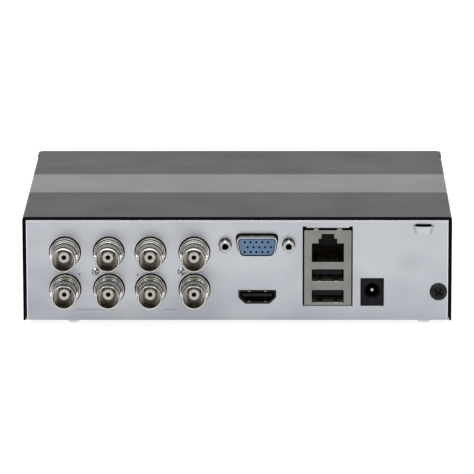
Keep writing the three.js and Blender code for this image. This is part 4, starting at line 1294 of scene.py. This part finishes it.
def drive_lid_details():
    """A raised field, a pressed ring over the spindle and the lid's own small screws."""
    raised = rectangle(LID_LOW.x + 5, LID_HIGH.x - 5, LID_LOW.y + 5, LID_HIGH.y - 5, 6, 6)
    spindle = middle("hdd_platter")
    outlines = [raised, circle(spindle.x, spindle.y, 13, 64), circle(*ARM_PIVOT, 6, 40)]
    field = plate(outlines, LID_TOP - 0.02, LID_TOP + 0.3, 0.12, "Z")
    ring = [(0, -0.02), (10.5, -0.02), (10.8, 0.15), (10.4, 0.28), (4.2, 0.28), (3.9, 0.12), (0, 0.12)]
    boss = lathe(ring, (spindle.x, spindle.y, LID_TOP), "Z", 64)
    piece("drive_lid_pressing", joined(field, boss), "lid")
    screws = flat_screws(LID_SCREWS, LID_TOP, 0.7, 1.7, 0.45, 0.7, 0.1, 0.55)
    piece("drive_lid_screws", screws, "steel")


top_cover()
base_chassis()
panel_prints()
panel_pegs()
cover_screw()
block_screws()
coaxial_jacks()
rounded("jack_blocks")
vga_socket()
rounded("riser")
jackscrews()
hdmi_socket()
stack_shield()
stack_inserts()
power_inlet()
rounded("front")
feet()
rounded("inside")
drive_screws()
capacitors()
coils()
chips()
passives()
crystal()
board_screws()
drive_lid_details()

# ---------- studio, in metres
FLOOR_HALF = 4.0
FLOOR_GLOW = 0.86
SKY_NEAR, SKY_FAR, SKY_TOP = 0.40, 1.12, 1.7  # brightness behind the camera, beyond the object, overhead


def floor():
    bm = bmesh.new()
    bmesh.ops.create_grid(bm, x_segments=8, y_segments=8, size=FLOOR_HALF)
    thing = from_bmesh(bm, "floor")
    surface = Surface("studio_floor", (0.26, 0.26, 0.26), 0.9, specular=0.1)
    surface.vary(400, 0.01)
    surface.set("Emission Color", (1.0, 1.0, 1.0, 1.0))
    surface.set("Emission Strength", FLOOR_GLOW)
    thing.data.materials.append(surface.material)


def world():
    """A soft studio: dim on the side that the camera looks from, bright overhead and beyond."""
    studio = bpy.data.worlds.new("studio")
    studio.use_nodes = True
    tree = studio.node_tree
    direction = tree.nodes.new("ShaderNodeTexCoord")
    split = tree.nodes.new("ShaderNodeSeparateXYZ")
    tree.links.new(direction.outputs["Generated"], split.inputs["Vector"])
    larger = tree.nodes.new("ShaderNodeMath")
    larger.operation = "MAXIMUM"
    ramps = (("Y", -0.95, -0.25, SKY_NEAR, SKY_FAR), ("Z", 0.12, 0.60, 0.0, SKY_TOP))
    for target, (axis, start, stop, low, high) in zip(larger.inputs, ramps):
        ramp = tree.nodes.new("ShaderNodeMapRange")
        for socket, number in (("From Min", start), ("From Max", stop), ("To Min", low), ("To Max", high)):
            ramp.inputs[socket].default_value = number
        tree.links.new(split.outputs[axis], ramp.inputs["Value"])
        tree.links.new(ramp.outputs["Result"], target)
    background = tree.nodes["Background"].inputs
    tree.links.new(larger.outputs["Value"], background["Strength"])
    background["Color"].default_value = (1.0, 1.0, 1.0, 1.0)
    bpy.context.scene.world = studio


def soft_light(name, place, aim, size, power):
    data = bpy.data.lights.new(name, "AREA")
    data.shape = "RECTANGLE"
    data.size, data.size_y = size
    data.energy = power
    lamp = linked(data, name)
    lamp.rotation_euler = (Vector(aim) - Vector(place)).to_track_quat("-Z", "Y").to_euler()
    lamp.location = place


floor()
world()
soft_light("overhead", (-0.2, 0.1, 1.3), (0, 0, 0), (1.4, 1.4), 14)
bpy.context.scene.view_settings.view_transform = "Standard"
